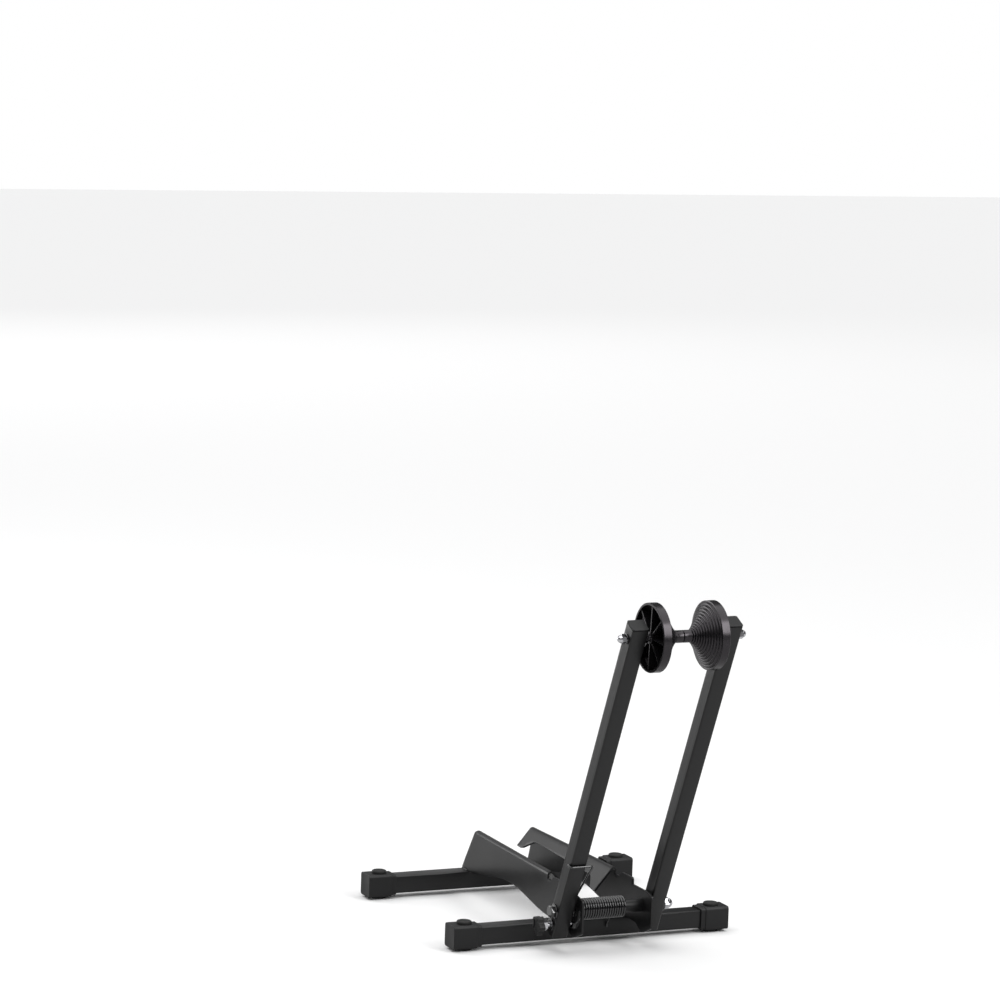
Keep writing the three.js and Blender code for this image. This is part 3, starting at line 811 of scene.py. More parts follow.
def dress(
    obj: Piece, where: Matrix, finish: Finish, body: str, nodes: Sequence[str] = (), smooth: float = 30
) -> Piece:
    """Puts a finished piece in its place, gives it its surface and lets it ride on its body.

    Args:
        obj: the piece.
        where: its place in the row frame.
        finish: its surface.
        body: the CAD body that it moves with, or nothing for a piece that is left on no body.
        nodes: the CAD nodes that it stands for.
        smooth: the largest angle that is shaded smooth, in degrees.

    Returns:
        The piece.
    """
    take(obj)
    obj.data.transform(where)
    solid = bmesh.new()
    solid.from_mesh(obj.data)
    if solid.calc_volume(signed=True) < 0:
        obj.data.flip_normals()
    solid.free()
    bpy.ops.object.shade_smooth_by_angle(angle=math.radians(smooth))
    obj.data.materials.clear()
    obj.data.materials.append(finish.material())
    if nodes:
        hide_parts(*nodes)
    if body:
        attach(obj, body)
    log.info("%s: %d faces, on %s", obj.name, len(obj.data.polygons), body or "two bodies")
    return obj


# ---------------------------------------------------------------- the base


@dataclass
class CrossTubes:
    """The two square tubes across the rack, with their moulded ends.

    The button's rim and the pad's groove are steps along the axis and outwards, from the rim of each.
    """

    frame: Frame
    spacing: float = 265.0
    side: float = 22.0
    corner: float = 2.2
    wall: float = 1.5
    length: float = 353.6
    height: float = 17.1
    half_width: float = 180.0
    cap_side: float = 28.2
    cap_length: float = 36.5
    cap_corner: float = 3.6
    cap_end: float = 3.0
    cap_play: float = 0.2
    cap_ease: float = 0.9
    collar_step: float = 1.3
    collar_length: float = 6.0
    dimple_border: float = 1.6
    dimple_depth: float = 0.25
    button: float = 18.0
    button_height: float = 3.6
    button_rim: tuple[Pair, ...] = ((-1.0, 0.0), (0.0, -1.0), (0.0, -2.4), (-0.5, -3.4))
    button_hollow: float = 0.7
    button_ease: float = 0.35
    pad_height: float = 3.0
    pad_groove: tuple[Pair, ...] = ((0.0, -4.0), (0.6, -3.6), (0.6, -2.8), (0.0, -2.4))
    pad_ease: float = 0.25

    def build(self) -> None:
        """Builds both tubes, the four caps, their buttons and their pads."""
        caps = {side: self._cap(f"cap_{side}", sign) for side, sign in SIDES.items()}
        button, pad = self._button(), self._pad()
        for row, y in (("front", 0.0), ("rear", self.spacing)):
            at = self.frame.base @ moved(y=y)
            tube = square_tube(f"{row}_tube", self.side, self.corner, self.length, self.wall)
            lying = moved(-self.length / 2, z=self.height) @ Matrix.Rotation(math.pi / 2, 4, "Y")
            dress(tube, at @ lying, POWDER_COAT, "base", [f"{row}_cross_tube"])
            for side, sign in SIDES.items():
                middle = at @ moved(sign * (self.half_width - self.cap_length / 2))
                for pattern, kind, where, finish, node in (
                    (caps[side], "cap", at, POLYPROPYLENE, "foot_cap"),
                    (button, "button", middle, NITRILE_RUBBER, "top_button"),
                    (pad, "pad", middle, NITRILE_RUBBER, "foot_pad"),
                ):
                    piece = copied(pattern, f"{row}_{side}_{kind}")
                    dress(piece, where, finish, "base", [f"{row}_{side}_{node}"])
        for pattern in (*caps.values(), button, pad):
            bpy.data.objects.remove(pattern)

    def _cap(self, name: str, sign: int) -> Piece:
        """A moulded cap: a rounded box with a lower collar, hollow from its inner end.

        Args:
            name: the cap's name.
            sign: the side that it is for, -1 or 1.

        Returns:
            The cap, in its place on the front tube.
        """
        body = self.cap_length - self.collar_length
        cap = block(name, (body, self.cap_side, self.cap_side), (self.half_width - body / 2, 0, self.height))
        end = (self.half_width - self.dimple_depth) * MM
        with editing(cap):
            round_corners(cap, ACROSS, body / 2, self.cap_corner)
            pick(cap, Part.FACE, faces_along(-ACROSS))
            inset(self.collar_step)
            extrude(-ACROSS * self.collar_length * MM)
            inset(self.cap_side / 2 - self.collar_step - self.side / 2 - self.cap_play)
            extrude(ACROSS * (self.cap_length - self.cap_end) * MM)
            pick(cap, Part.FACE, lambda face: face.normal.x > FACING and face.calc_center_median().x > end)
            inset(self.dimple_border)
            bpy.ops.transform.translate(value=-ACROSS * self.dimple_depth * MM)
        ease_edges(cap, self.cap_ease, 4)
        return cap if sign > 0 else put(cap, MIRROR)

    def _button(self) -> Piece:
        """A rubber button that stands on the top of a cap, with a slightly hollow top.

        Returns:
            The button, over the middle of the front tube.
        """
        radius, height = self.button / 2, self.button_height
        rim = [(height + along, radius + out) for along, out in self.button_rim]
        section = [(0, 0), (0, radius), *rim, (height - self.button_hollow, 0)]
        button = ease_edges(turned("button", section), self.button_ease)
        return put(button, moved(z=self.height + self.cap_side / 2) @ STANDING)

    def _pad(self) -> Piece:
        """A rubber pad under a cap, with one groove round its underside.

        Returns:
            The pad, under the middle of the front tube.
        """
        radius, height = self.button / 2, self.pad_height
        groove = [(along, radius + out) for along, out in self.pad_groove]
        section = [(0, 0), *groove, (0, radius), (height, radius), (height, 0)]
        return put(ease_edges(turned("pad", section), self.pad_ease), STANDING)


@dataclass
class SidePlates:
    """The two plates of bent sheet: cut flat with their lugs, folded over at the top, leant in at the back.

    Places along a plate are Y, and heights are up the flat sheet from its foot on the tubes. Each lug has a
    nose in front, a step up behind it, a chin below the pivot and a relief notch where the folded wing begins.
    """

    frame: Frame
    outer: float = 46.0
    sheet: float = 2.5
    foot: float = 28.1
    rise: float = 52.5
    back: float = 276.0
    top_lead: float = 28.0
    belly: float = 14.7
    half_tube: float = 11.0
    lean: float = 6.2
    lean_start: float = 24.0
    lean_softness: float = 4.0
    fold_radius: float = 3.5
    wing_slope: float = 50.0
    wing_middle: float = 27.0
    wing_end: float = 17.0
    wing_end_length: float = 9.0
    wing_end_blend: float = 26.0
    nose: tuple[Pair, ...] = ((-77.5, 0.0), (-77.5, 39.0), (-61.0, 42.0))
    step: float = -25.0
    step_slant: float = 1.0
    lug_rise: float = 50.0
    neck: Pair = (-38.0, -1.7)
    chin: Pair = (-47.0, -7.1)
    chin_width: float = 14.0
    chin_bulge: float = 1.5
    relief_depth: float = 6.0
    relief_back: float = 22.0
    corner: float = 2.5
    ease: float = 0.35
    hole: float = 8.6
    slot_radius: float = 19.5
    slot_width: float = 6.6
    slot_span: Pair = (-180.0, -45.0)
    row_pitch: float = 4.0
    column_pitch: float = 6.0
    fold_rows: int = 12
    lower_rows: int = 11
    upper_rows: int = 8
    columns: tuple[int, int] = (-16, 42)
    curve_steps: int = 30
    chin_steps: int = 8
    relief_steps: int = 6
    slot_steps: int = 28
    bead_length: float = 17.0
    bead_radius: float = 1.9
    bead_pitch: float = 2.1
    bead_ripple: float = 0.14
    bead_steps: int = 64
    bead_squareness: int = 8
    bead_least: float = 0.02

    @property
    def middle(self) -> float:
        """X of the sheet's middle."""
        return self.outer - self.sheet / 2

    @property
    def fold_height(self) -> float:
        """Height over the foot at which the top fold starts."""
        return self.rise - self.sheet / 2 - self.fold_radius

    @property
    def turn(self) -> float:
        """How far the top fold turns the sheet over, in radians."""
        return math.radians(90 + self.wing_slope)

    @property
    def crest(self) -> list[Pair]:
        """The lug's front and upper edge, up to the relief notch."""
        step = [(self.step, self.nose[-1][1]), (self.step + self.step_slant, self.lug_rise)]
        return [*self.nose, *step, (0.0, self.lug_rise)]

    def build(self) -> None:
        """Builds both plates and the weld beads that hold them."""
        plate = self._folded(self._blank())
        hole = rod("hole", self.hole / 2, 0, self.outer * 2)
        combine(plate, put(hole, Matrix.Translation(self.frame.pivot * MM)))
        left = copied(plate, "left_plate", MIRROR)
        combine(left, self._slot())
        plate.name = plate.data.name = "right_plate"
        for side, obj in (("left", left), ("right", plate)):
            ease_edges(obj, self.ease)
            dress(obj, self.frame.base, POWDER_COAT, "base", [f"{side}_side_plate"], smooth=24)
        self._welds()

    def _wing_reach(self, y: float) -> float:
        """How far a wing reaches inwards from its fold.

        Args:
            y: place along the plate.

        Returns:
            The distance across the rack.
        """
        fold = self.middle - self._lean_in(y, self.fold_height) - self.fold_radius
        edge_x = fold + self.fold_radius * math.cos(self.turn)
        ends = min(y - self.relief_back, self.back - self.top_lead - y)
        share = min(max((ends - self.wing_end_length) / self.wing_end_blend, 0), 1)
        share = share * share * (3 - 2 * share)
        return edge_x - (self.wing_end + (self.wing_middle - self.wing_end) * share)

    def _lean_in(self, y: float, height: float) -> float:
        """How far the sheet leans in.

        Args:
            y: place along the plate.
            height: over its foot.

        Returns:
            The distance across the rack.
        """
        length = math.hypot(self.back - self.lean_start, self.rise)
        beyond = ((y - self.back) * self.rise + height * (self.back - self.lean_start)) / length
        return math.tan(math.radians(self.lean)) * 0.5 * (beyond + math.hypot(beyond, self.lean_softness))

    def _outline(self) -> list[Pair]:
        """The flat blank's outline, once round.

        Returns:
            Places along the plate, and heights up the sheet from its foot.
        """
        steps = self.curve_steps
        rear, top_back = self.back - 2 * self.half_tube, self.back - self.top_lead
        arch, wing = [], []
        for i in range(steps + 1):
            share = i / steps
            height = self.belly * math.sin(math.pi * share) ** 2
            arch.append((rear + (self.half_tube - rear) * share, height))
            y = self.relief_back + (top_back - self.relief_back) * share
            reach = self._wing_reach(y) / math.cos(math.radians(self.wing_slope))
            wing.append((y, self.fold_height + self.fold_radius * self.turn + reach))
        chin = []
        for i in range(self.chin_steps + 1):
            bulge = self.chin_bulge * math.sin(math.pi * i / self.chin_steps)
            chin.append((self.chin[0] - self.chin_width * i / self.chin_steps, self.chin[1] - bulge))
        relief = []
        for i in range(1, self.relief_steps + 1):
            angle = math.pi / 2 * i / self.relief_steps
            drop = self.relief_depth * (1 - math.cos(angle))
            relief.append((self.half_tube * math.sin(angle), self.lug_rise - drop))
        front = [(-self.half_tube, 0), self.neck, *chin, *self.crest, *relief]
        mouth = (self.relief_back, self.lug_rise - self.relief_depth)
        return [(self.back, 0), *arch, *front, mouth, *wing, (top_back, self.rise)]

    def _blank(self) -> Piece:
        """The flat blank, cut into a grid fine enough to fold.

        Returns:
            The blank, lying flat with its length along X.
        """
        outline = self._outline()
        blank = from_points("blank", [(*point, 0) for point in outline], [list(range(len(outline)))])
        sharp = [point for point in self.crest if point[0] != self.step] + [(self.back, 0)]
        bend = self.fold_radius * self.turn
        fold_end = self.fold_height + bend
        rows = [self.row_pitch * i for i in range(1, self.lower_rows + 1)]
        rows += [self.fold_height + bend * i / self.fold_rows for i in range(self.fold_rows + 1)]
        rows += [fold_end + self.row_pitch * i for i in range(1, self.upper_rows + 1)]
        cuts = [(Vector((0, height * MM, 0)), Vector((0, 1, 0))) for height in rows]
        columns = (self.relief_back + self.column_pitch * i for i in range(*self.columns))
        cuts += [(Vector((y * MM, 0, 0)), ACROSS) for y in columns]
        with editing(blank):
            pick(blank, Part.VERT, lambda v: any((v.co.xy / MM - Vector(p)).length < 0.01 for p in sharp))
            bpy.ops.mesh.bevel(offset=self.corner * MM, segments=5, affect="VERTICES")
            for place, normal in cuts:
                bpy.ops.mesh.select_all(action="SELECT")
                bpy.ops.mesh.bisect(plane_co=place, plane_no=normal)
        return blank

    def _folded(self, blank: Piece) -> Piece:
        """Bends the blank to shape and gives it its thickness.

        Args:
            blank: the flat blank.

        Returns:
            The right plate, without its holes.
        """
        slope = math.radians(self.wing_slope)
        for vertex in blank.data.vertices:
            y, height = vertex.co.x / MM, vertex.co.y / MM
            if y < self.relief_back - 0.01 or height <= self.fold_height:
                x, z = self.middle - self._lean_in(y, height), height
            else:
                bend = min((height - self.fold_height) / self.fold_radius, self.turn)
                rest = max(height - self.fold_height - self.turn * self.fold_radius, 0)
                fold = self.middle - self._lean_in(y, self.fold_height) - self.fold_radius
                x = fold + self.fold_radius * math.cos(bend) - rest * math.cos(slope)
                z = self.fold_height + self.fold_radius * math.sin(bend) - rest * math.sin(slope)
            vertex.co = Vector((x, y, self.foot + z)) * MM
        with editing(blank):
            mend()
        even = {"use_even_offset": True, "use_quality_normals": True}
        return modify(blank, "SOLIDIFY", thickness=self.sheet * MM, offset=0, **even)

    def _slot(self) -> Piece:
        """A cutter for the arc that the lock's stud runs in, on the left plate.

        Returns:
            The cutter.
        """
        first, last = (math.radians(angle) for angle in self.slot_span)
        steps, half = self.slot_steps, self.slot_width / 2
        ends = {angle: arc(self.slot_radius, angle, angle, 1)[0] for angle in (first, last)}
        flat = arc(self.slot_radius + half, first, last, steps)
        flat += arc(half, last, last + math.pi, 8, ends[last])[1:-1]
        flat += arc(self.slot_radius - half, last, first, steps)
        flat += arc(half, first + math.pi, first + 2 * math.pi, 8, ends[first])[1:-1]
        pivot, count = self.frame.pivot, len(flat)
        faces_x = (-self.outer - CLEAR, -self.outer + self.sheet + CLEAR)
        points = [(x, pivot.y + y, pivot.z + z) for x in faces_x for y, z in flat]
        faces = [list(range(count)), list(range(2 * count - 1, count - 1, -1))]
        faces += [[i, i + count, (i + 1) % count + count, (i + 1) % count] for i in range(count)]
        slot = from_points("slot", points, faces)
        with editing(slot):
            mend()
        return slot

    def _welds(self) -> None:
        """Weld beads along both sides of each plate's foot, on both tubes."""
        length, steps = self.bead_length, self.bead_steps
        profile = [(-length / 2, 0)]
        for i in range(steps + 1):
            x = length * (i / steps - 0.5)
            end = math.sqrt(max(1 - (2 * abs(x) / length) ** self.bead_squareness, self.bead_least))
            ripple = 1 - self.bead_ripple + self.bead_ripple * abs(math.sin(math.pi * x / self.bead_pitch))
            profile.append((x, self.bead_radius * end * ripple))
        profile.append((length / 2, 0))
        pattern = put(turned("bead", profile, 20), Matrix.Rotation(math.pi / 2, 4, "Z"))
        for row, y in (("front", 0.0), ("rear", self.back - self.half_tube)):
            beads = []
            for sign in SIDES.values():
                for x in (self.outer, self.outer - self.sheet):
                    beads.append(copied(pattern, "bead", moved(sign * x, y, self.foot)))
            dress(joined(f"{row}_weld_beads", beads), self.frame.base, POWDER_COAT, "base", smooth=50)
        bpy.data.objects.remove(pattern)


@dataclass
class PivotStack:
    """What the arms swing on: the bolt, its nut, the sleeve between the plates, spacers and washers."""

    frame: Frame
    bolt: float = 8.0
    bolt_end: float = 2.0
    bolt_chamfer: float = 0.6
    hole: float = 8.6
    flats: float = 13.0
    head: float = 5.3
    head_ease: float = 0.12
    nut: float = 7.0
    washer: float = 18.0
    washer_thickness: float = 2.0
    plate_inner: float = 43.5
    plate_outer: float = 46.0
    arm_inner: float = 49.0
    arm_outer: float = 69.0
    sleeve: float = 16.0
    sleeve_ease: float = 0.4

    def build(self) -> None:
        """Builds the whole stack."""
        at = self.frame.hinge
        face = self.arm_outer + self.washer_thickness
        head = put(hexagon("pivot_hex_bolt", self.flats, self.head), moved(-face, sign=-1))
        end = face + self.nut + self.bolt_end
        combine(head, pin("shank", self.bolt / 2, -face - 0.5, end, self.bolt_chamfer), "UNION")
        dress(ease_edges(head, self.head_ease), at, BLACK_OXIDE, "base", ["pivot_bolt"])
        nut = domed_nut("pivot_cap_nut", self.flats, self.nut, self.hole)
        dress(nut, at @ moved(face), CHROME, "base", ["pivot_domed_nut"])
        sleeve = collar("pivot_tube", self.sleeve, self.hole, -self.plate_inner, self.plate_inner, self.sleeve_ease)
        dress(sleeve, at, POWDER_COAT, "base", ["pivot_sleeve"])
        for side, sign in SIDES.items():
            for name, node, near, far in (
                ("spacer_ring", "pivot_spacer", self.plate_outer, self.arm_inner),
                ("pivot_plain_washer", "pivot_washer", self.arm_outer, face),
            ):
                ring = collar(f"{side}_{name}", self.washer, self.hole, sign * near, sign * far)
                dress(ring, at, BLACK_OXIDE, "base", [f"{side}_{node}"])


@dataclass
class TorsionSpring:
    """The spring round the sleeve, hooked over the left arm and resting on the front tube."""

    frame: Frame
    diameter: float = 2.6
    radius: float = 11.7
    first: float = -41.6
    last: float = 17.8
    turns: int = 19
    steps_per_turn: int = 28
    hook_height: float = 73.0
    hook_return: float = 6.0
    hook_bend: float = 3.2
    arm_face: float = 10.0
    arm_outer: float = 69.0
    gap: float = 0.3
    foot_depth: float = 6.5
    foot_length: float = 4.0
    foot_bend: float = 2.5
    tube_top: float = 28.1
    half_tube: float = 11.0

    def build(self) -> None:
        """Builds the spring, hooked over the arm with its foot on the tube, and leaves it on no body."""
        spring = wire("wound_spring", self._path(), self.diameter)
        dress(spring, self.frame.hinge, BLACK_OXIDE, "", ["torsion_spring"], smooth=60)
        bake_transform(spring)

    def _touch(self, far: Vector, sign: int) -> float:
        """The angle at which a line from a far point touches the curls."""
        return math.atan2(far.z, far.y) + sign * math.acos(self.radius / math.hypot(far.y, far.z))

    def _path(self) -> list[Vector]:
        """The wire's centre line: hook, leg, curls, leg and foot.

        Returns:
            Its points, from the pivot's middle.
        """
        lean = Matrix.Rotation(math.radians(self.frame.lean), 3, "X")
        clear = self.gap + self.diameter / 2
        front, side = -(self.arm_face + clear), -(self.arm_outer + clear)
        corner = lean @ Vector((self.first, front, self.hook_height))
        foot_y = -self.frame.pivot.y - self.half_tube - clear
        foot = Vector((self.last, foot_y, self.tube_top - self.foot_depth - self.frame.pivot.z))
        start = self._touch(corner, -1)
        end = self._touch(foot, 1) - 2 * math.pi * self.turns
        steps = round((start - end) / (2 * math.pi) * self.steps_per_turn)
        curls = []
        for i in range(steps + 1):
            share = i / steps
            angle = start + (end - start) * share
            x = self.first + (self.last - self.first) * share
            curls.append(Vector((x, self.radius * math.cos(angle), self.radius * math.sin(angle))))
        tip, bend = (lean @ Vector((side, front + back, self.hook_height)) for back in (self.hook_return, 0))
        hook = [tip, bend, corner, curls[0]]
        rest = [curls[-1], foot, foot - Vector((0, 0, self.foot_length))]
        return [*rounded_path(hook, self.hook_bend)[:-1], *curls, *rounded_path(rest, self.foot_bend)[1:]]


# ---------------------------------------------------------------- the arms


@dataclass
class Arms:
    """The two leaning arms of square tube, with a moulded plug in the top of each."""

    frame: Frame
    side: float = 20.0
    corner: float = 2.2
    wall: float = 1.5
    below: float = 33.0
    top: float = 403.2
    middle: float = 59.0
    plug_head: float = 2.0
    plug_gap: float = 0.3
    plug_depth: float = 9.0
    plug_border: float = 1.4
    plug_ease: float = 0.8
    holes: tuple[Pair, ...] = ((0.0, 8.6), (387.0, 6.6))
    lock_hole: Pair = (-19.5, 6.6)

    def build(self) -> None:
        """Builds both arms and both plugs."""
        for side, sign in SIDES.items():
            at = self.frame.arms @ moved(sign * self.middle)
            arm = square_tube(f"{side}_arm_tube", self.side, self.corner, self.top + self.below, self.wall)
            put(arm, moved(z=-self.below))
            holes = [*self.holes, self.lock_hole] if sign < 0 else self.holes
            for height, diameter in holes:
                combine(arm, put(rod("drill", diameter / 2, -self.side, self.side, 32), moved(z=height)))
            dress(arm, at, POWDER_COAT, "arm_frame", [f"{side}_arm"])
            dress(self._plug(f"{side}_plug"), at, POLYPROPYLENE, "arm_frame", [f"{side}_arm_plug"])

    def _plug(self, name: str) -> Piece:
        """A plug with a softly crowned head and a shank that goes down the tube.

        Args:
            name: the plug's name.

        Returns:
            The plug, in its place on an arm.
        """
        gap, head = self.plug_gap, self.plug_head
        middle = self.top + gap + gap / 2 + head / 2
        plug = block(name, (self.side, self.side, head - gap), (0, 0, middle))
        with editing(plug):
            round_corners(plug, UP, head / 2, self.corner)
            pick(plug, Part.FACE, faces_along(-UP))
            inset(self.wall + gap)
            extrude(-UP * self.plug_depth * MM)
            pick(plug, Part.FACE, faces_along(UP))
            inset(self.plug_border)
        return ease_edges(plug, self.plug_ease, 1)


@dataclass
class AxleSet:
    """The rollers' axle and what holds it in the arms."""

    frame: Frame
    height: float = 387.0
    diameter: float = 6.0
    hole: float = 6.6
    flats: float = 10.0
    inner_nut: float = 6.0
    nut_ease: float = 0.12
    cap_nut: float = 5.5
    washer: float = 12.0
    washer_thickness: float = 1.6
    arm_inner: float = 49.0
    arm_outer: float = 69.0
    pitch: float = 1.0
    thread_depth: float = 0.55
    flank: float = 0.25

    def build(self) -> None:
        """Builds the axle, its nuts and its washers."""
        at = self.frame.axle
        face = self.arm_outer + self.washer_thickness
        dress(self._axle(face + self.cap_nut), at, CHROME, "arm_frame", ["roller_axle"])
        for side, sign in SIDES.items():
            nut = hexagon(f"{side}_jam_nut", self.flats, self.inner_nut)
            combine(nut, rod("bore", self.hole / 2, -CLEAR, self.inner_nut + CLEAR))
            near = at @ moved(sign * (self.arm_inner - self.inner_nut), sign=sign)
            dress(ease_edges(nut, self.nut_ease), near, CHROME, "arm_frame", [f"{side}_axle_inner_nut"])
            cap = domed_nut(f"{side}_cap_nut", self.flats, self.cap_nut, self.hole)
            dress(cap, at @ moved(sign * face, sign=sign), CHROME, "arm_frame", [f"{side}_axle_domed_nut"])
            washer = collar(f"{side}_plain_washer", self.washer, self.hole, sign * self.arm_outer, sign * face)
            dress(washer, at, BLACK_OXIDE, "arm_frame", [f"{side}_axle_washer"])

    def _axle(self, end: float) -> Piece:
        """A plain axle whose ends are threaded.

        Args:
            end: half its length.

        Returns:
            The axle.
        """
        radius = self.diameter / 2
        root = radius - self.thread_depth
        turns = int((end - self.arm_inner + self.inner_nut) / self.pitch)
        thread = []
        for i in range(turns):
            x = end - self.pitch * (i + 1)
            thread += [(x + self.pitch * (1 - self.flank), root), (x + self.pitch * self.flank, radius)]
        right = [(end, 0), (end, root), *thread]
        left = [(-x, r) for x, r in reversed(right)]
        return turned("threaded_axle", [*right, *left], 40)


@dataclass
class Rollers:
    """The two cone rollers, with ridged fronts and hollow, ribbed backs.

    A ridge's shape is given as shares of the way to the next ridge, and shares of the groove's depth.
    """

    frame: Frame
    play: float = 0.3
    rim: float = 39.5
    hub: float = 7.2
    bore: float = 3.25
    length: float = 41.5
    rim_width: float = 10.0
    rim_ease: float = 0.3
    hub_length: float = 9.0
    hub_ease: float = 0.5
    back_ease: float = 0.4
    ridges: int = 12
    flare: float = 1.3
    groove: float = 1.0
    wall: float = 2.6
    ribs: int = 8
    rib_thickness: float = 1.7
    rib_sink: float = 0.5
    rib_inset: float = 1.6
    rib_turn: float = 24.0
    faces_round: int = 112
    ridge_shape: tuple[Pair, ...] = (
        (0.2, 0.1), (0.36, 0.45), (0.5, 1.0), (0.64, 0.45), (0.8, 0.1), (1.0, 0.0)
    )  # fmt: skip

    @property
    def rim_start(self) -> float:
        """X at which the cone ends and the rim begins."""
        return self.length - self.rim_width

    def build(self) -> None:
        """Builds one roller and its mirror image."""
        right = self._roller()
        left = copied(right, "left_cone_roller", MIRROR)
        for side, obj in (("left", left), ("right", right)):
            dress(obj, self.frame.axle, NYLON, f"{side}_roller", [f"{side}_roller"], smooth=38)

    def _roller(self) -> Piece:
        """The right roller.

        Returns:
            The roller, from the middle of the axle.
        """
        hub, rim, back, start = self.hub, self.rim, self.length, self.rim_start
        section = [(self.play, self.bore), (self.play, hub - self.hub_ease), (self.play + self.hub_ease, hub)]
        section.append((self.hub_length, hub))
        for i in range(self.ridges):
            before, here = self._ridge(i), self._ridge(i + 1)
            inward = Vector((here.y - before.y, before.x - here.x)).normalized() * self.groove
            for share, depth in self.ridge_shape:
                point = before.lerp(here, share) + inward * depth
                section.append((point.x, point.y))
        section += [(start, rim - self.rim_ease), (start + self.rim_ease, rim)]
        section += [(back - self.back_ease, rim), (back, rim - self.back_ease), (back, rim - self.wall)]
        section += [(start + self.wall, rim - self.wall), (self.hub_length + self.wall * 2, hub)]
        section += [(back - self.back_ease, hub), (back, hub - self.back_ease), (back, self.bore)]
        section.append((self.play, self.bore))
        return combine(turned("right_cone_roller", section, self.faces_round), self._ribs(), "UNION")

    def _ridge(self, i: int) -> Vector:
        """The top of a ridge on the cone.

        Args:
            i: the ridge's number, from the hub.

        Returns:
            Its distance along X and its radius.
        """
        share = i / self.ridges
        x = self.hub_length + (self.rim_start - self.hub_length) * share
        return Vector((x, self.hub + (self.rim - self.hub) * share**self.flare))

    def _ribs(self) -> Piece:
        """All the ribs behind the cone.

        Returns:
            One tool that holds them.
        """
        inner, outer = self.hub - 1, self.rim - self.wall / 2
        back = self.length - self.rib_inset
        rib = block("rib", (1 / MM, self.rib_thickness, 1 / MM), (0, 0, 0))
        corners = {
            (False, False): (self.hub_length + 2 * self.wall - self.rib_sink, inner),
            (True, False): (back, inner),
            (False, True): (self.rim_start + self.wall - self.rib_sink, outer),
            (True, True): (back, outer),
        }
        for vertex in rib.data.vertices:
            x, z = corners[(vertex.co.x > 0, vertex.co.z > 0)]
            vertex.co = Vector((x * MM, vertex.co.y, z * MM))
        turns = [math.radians(self.rib_turn) + 2 * math.pi * i / self.ribs for i in range(self.ribs)]
        copies = [copied(rib, "rib", Matrix.Rotation(turn, 4, "X")) for turn in turns]
        bpy.data.objects.remove(rib)
        return joined("ribs", copies)


@dataclass
class Lock:
    """The knob low on the left arm, which clamps the arms where they stand."""

    frame: Frame
    below: float = 19.5
    stud: float = 6.0
    stud_chamfer: float = 0.5
    hole: float = 6.6
    arm_outer: float = 69.0
    washer: float = 15.0
    washer_thickness: float = 1.6
    head: float = 12.0
    head_length: float = 7.0
    head_border: float = 3.0
    head_hollow: float = 0.9
    head_ease: float = 0.8
    neck_length: float = 11.0
    ferrule: float = 12.0
    ferrule_length: float = 6.0
    ferrule_shank: float = 9.0
    ferrule_depth: float = 5.0
    ferrule_play: float = 0.2
    ferrule_ease: float = 0.15
    lobes: int = 5
    lobe_depth: float = 3.2
    faces_round: int = 72
    nut: float = 10.0
    nut_thickness: float = 4.0
    nut_end: float = -43.2
    nut_ease: float = 0.4

    @property
    def start(self) -> float:
        """X of the washer's outer face."""
        return -self.arm_outer - self.washer_thickness

    @property
    def face(self) -> float:
        """X at which the head ends and the ferrule begins."""
        return self.start - self.neck_length

    def build(self) -> None:
        """Builds the knob, its stud, its washer and the nut behind the plate."""
        at = self.frame.arms @ moved(z=-self.below)
        dress(self._knob(), at, POLYPROPYLENE, "lock_knob", ["lock_knob"], smooth=40)
        end = self.nut_end + self.nut_thickness
        stud = pin("threaded_stud", self.stud / 2, self.face + 0.5, end, self.stud_chamfer)
        dress(stud, at, CHROME, "lock_knob", ["lock_stud"])
        dress(self._ferrule(), at, CHROME, "lock_knob", ["knob_ferrule"])
        washer = collar("lock_plain_washer", self.washer, self.hole, self.start, -self.arm_outer)
        dress(washer, at, BLACK_OXIDE, "arm_frame", ["lock_washer"])
        middle = self.nut_end + self.nut_thickness / 2
        nut = block("square_nut", (self.nut_thickness, self.nut, self.nut), (middle, 0, 0))
        combine(nut, rod("bore", self.hole / 2, -60, 0))
        dress(ease_edges(nut, self.nut_ease, 3), at, BLACK_OXIDE, "arm_frame", ["slot_nut"])

    def _knob(self) -> Piece:
        """The knob's lobed head.

        Returns:
            The head, with the pocket for the ferrule's shank.
        """
        back = self.face - self.head_length
        knob = rod("lobed_knob", self.head, back, back + self.head_length, self.faces_round)
        for vertex in knob.data.vertices:
            angle = math.atan2(vertex.co.z, vertex.co.y) - math.pi / 2
            valley = self.lobe_depth / 2 * (1 - math.cos(self.lobes * angle))
            vertex.co.yz *= 1 - valley / self.head
        with editing(knob):
            pick(knob, Part.FACE, faces_along(-ACROSS))
            inset(self.head_border)
            extrude(ACROSS * self.head_hollow * MM)
        play = self.ferrule_play
        bottom = self.face - self.ferrule_depth - play
        pocket = rod("pocket", self.ferrule_shank / 2 + play, bottom, self.face + CLEAR)
        return ease_edges(combine(knob, pocket), self.head_ease, 3)

    def _ferrule(self) -> Piece:
        """The steel hexagon between the head and the washer, with its shank in the head.

        Returns:
            The ferrule, in its place on the stud.
        """
        ferrule = hexagon("steel_ferrule", self.ferrule, self.ferrule_length)
        near, radius = -self.ferrule_depth, self.ferrule_shank / 2
        combine(ferrule, turned("shank", [(near, 0), (near, radius), (CLEAR, radius), (CLEAR, 0)]), "UNION")
        combine(ferrule, rod("bore", self.hole / 2, 0, self.ferrule_length + CLEAR))
        return ease_edges(put(ferrule, moved(self.face)), self.ferrule_ease)


# ---------------------------------------------------------------- the studio


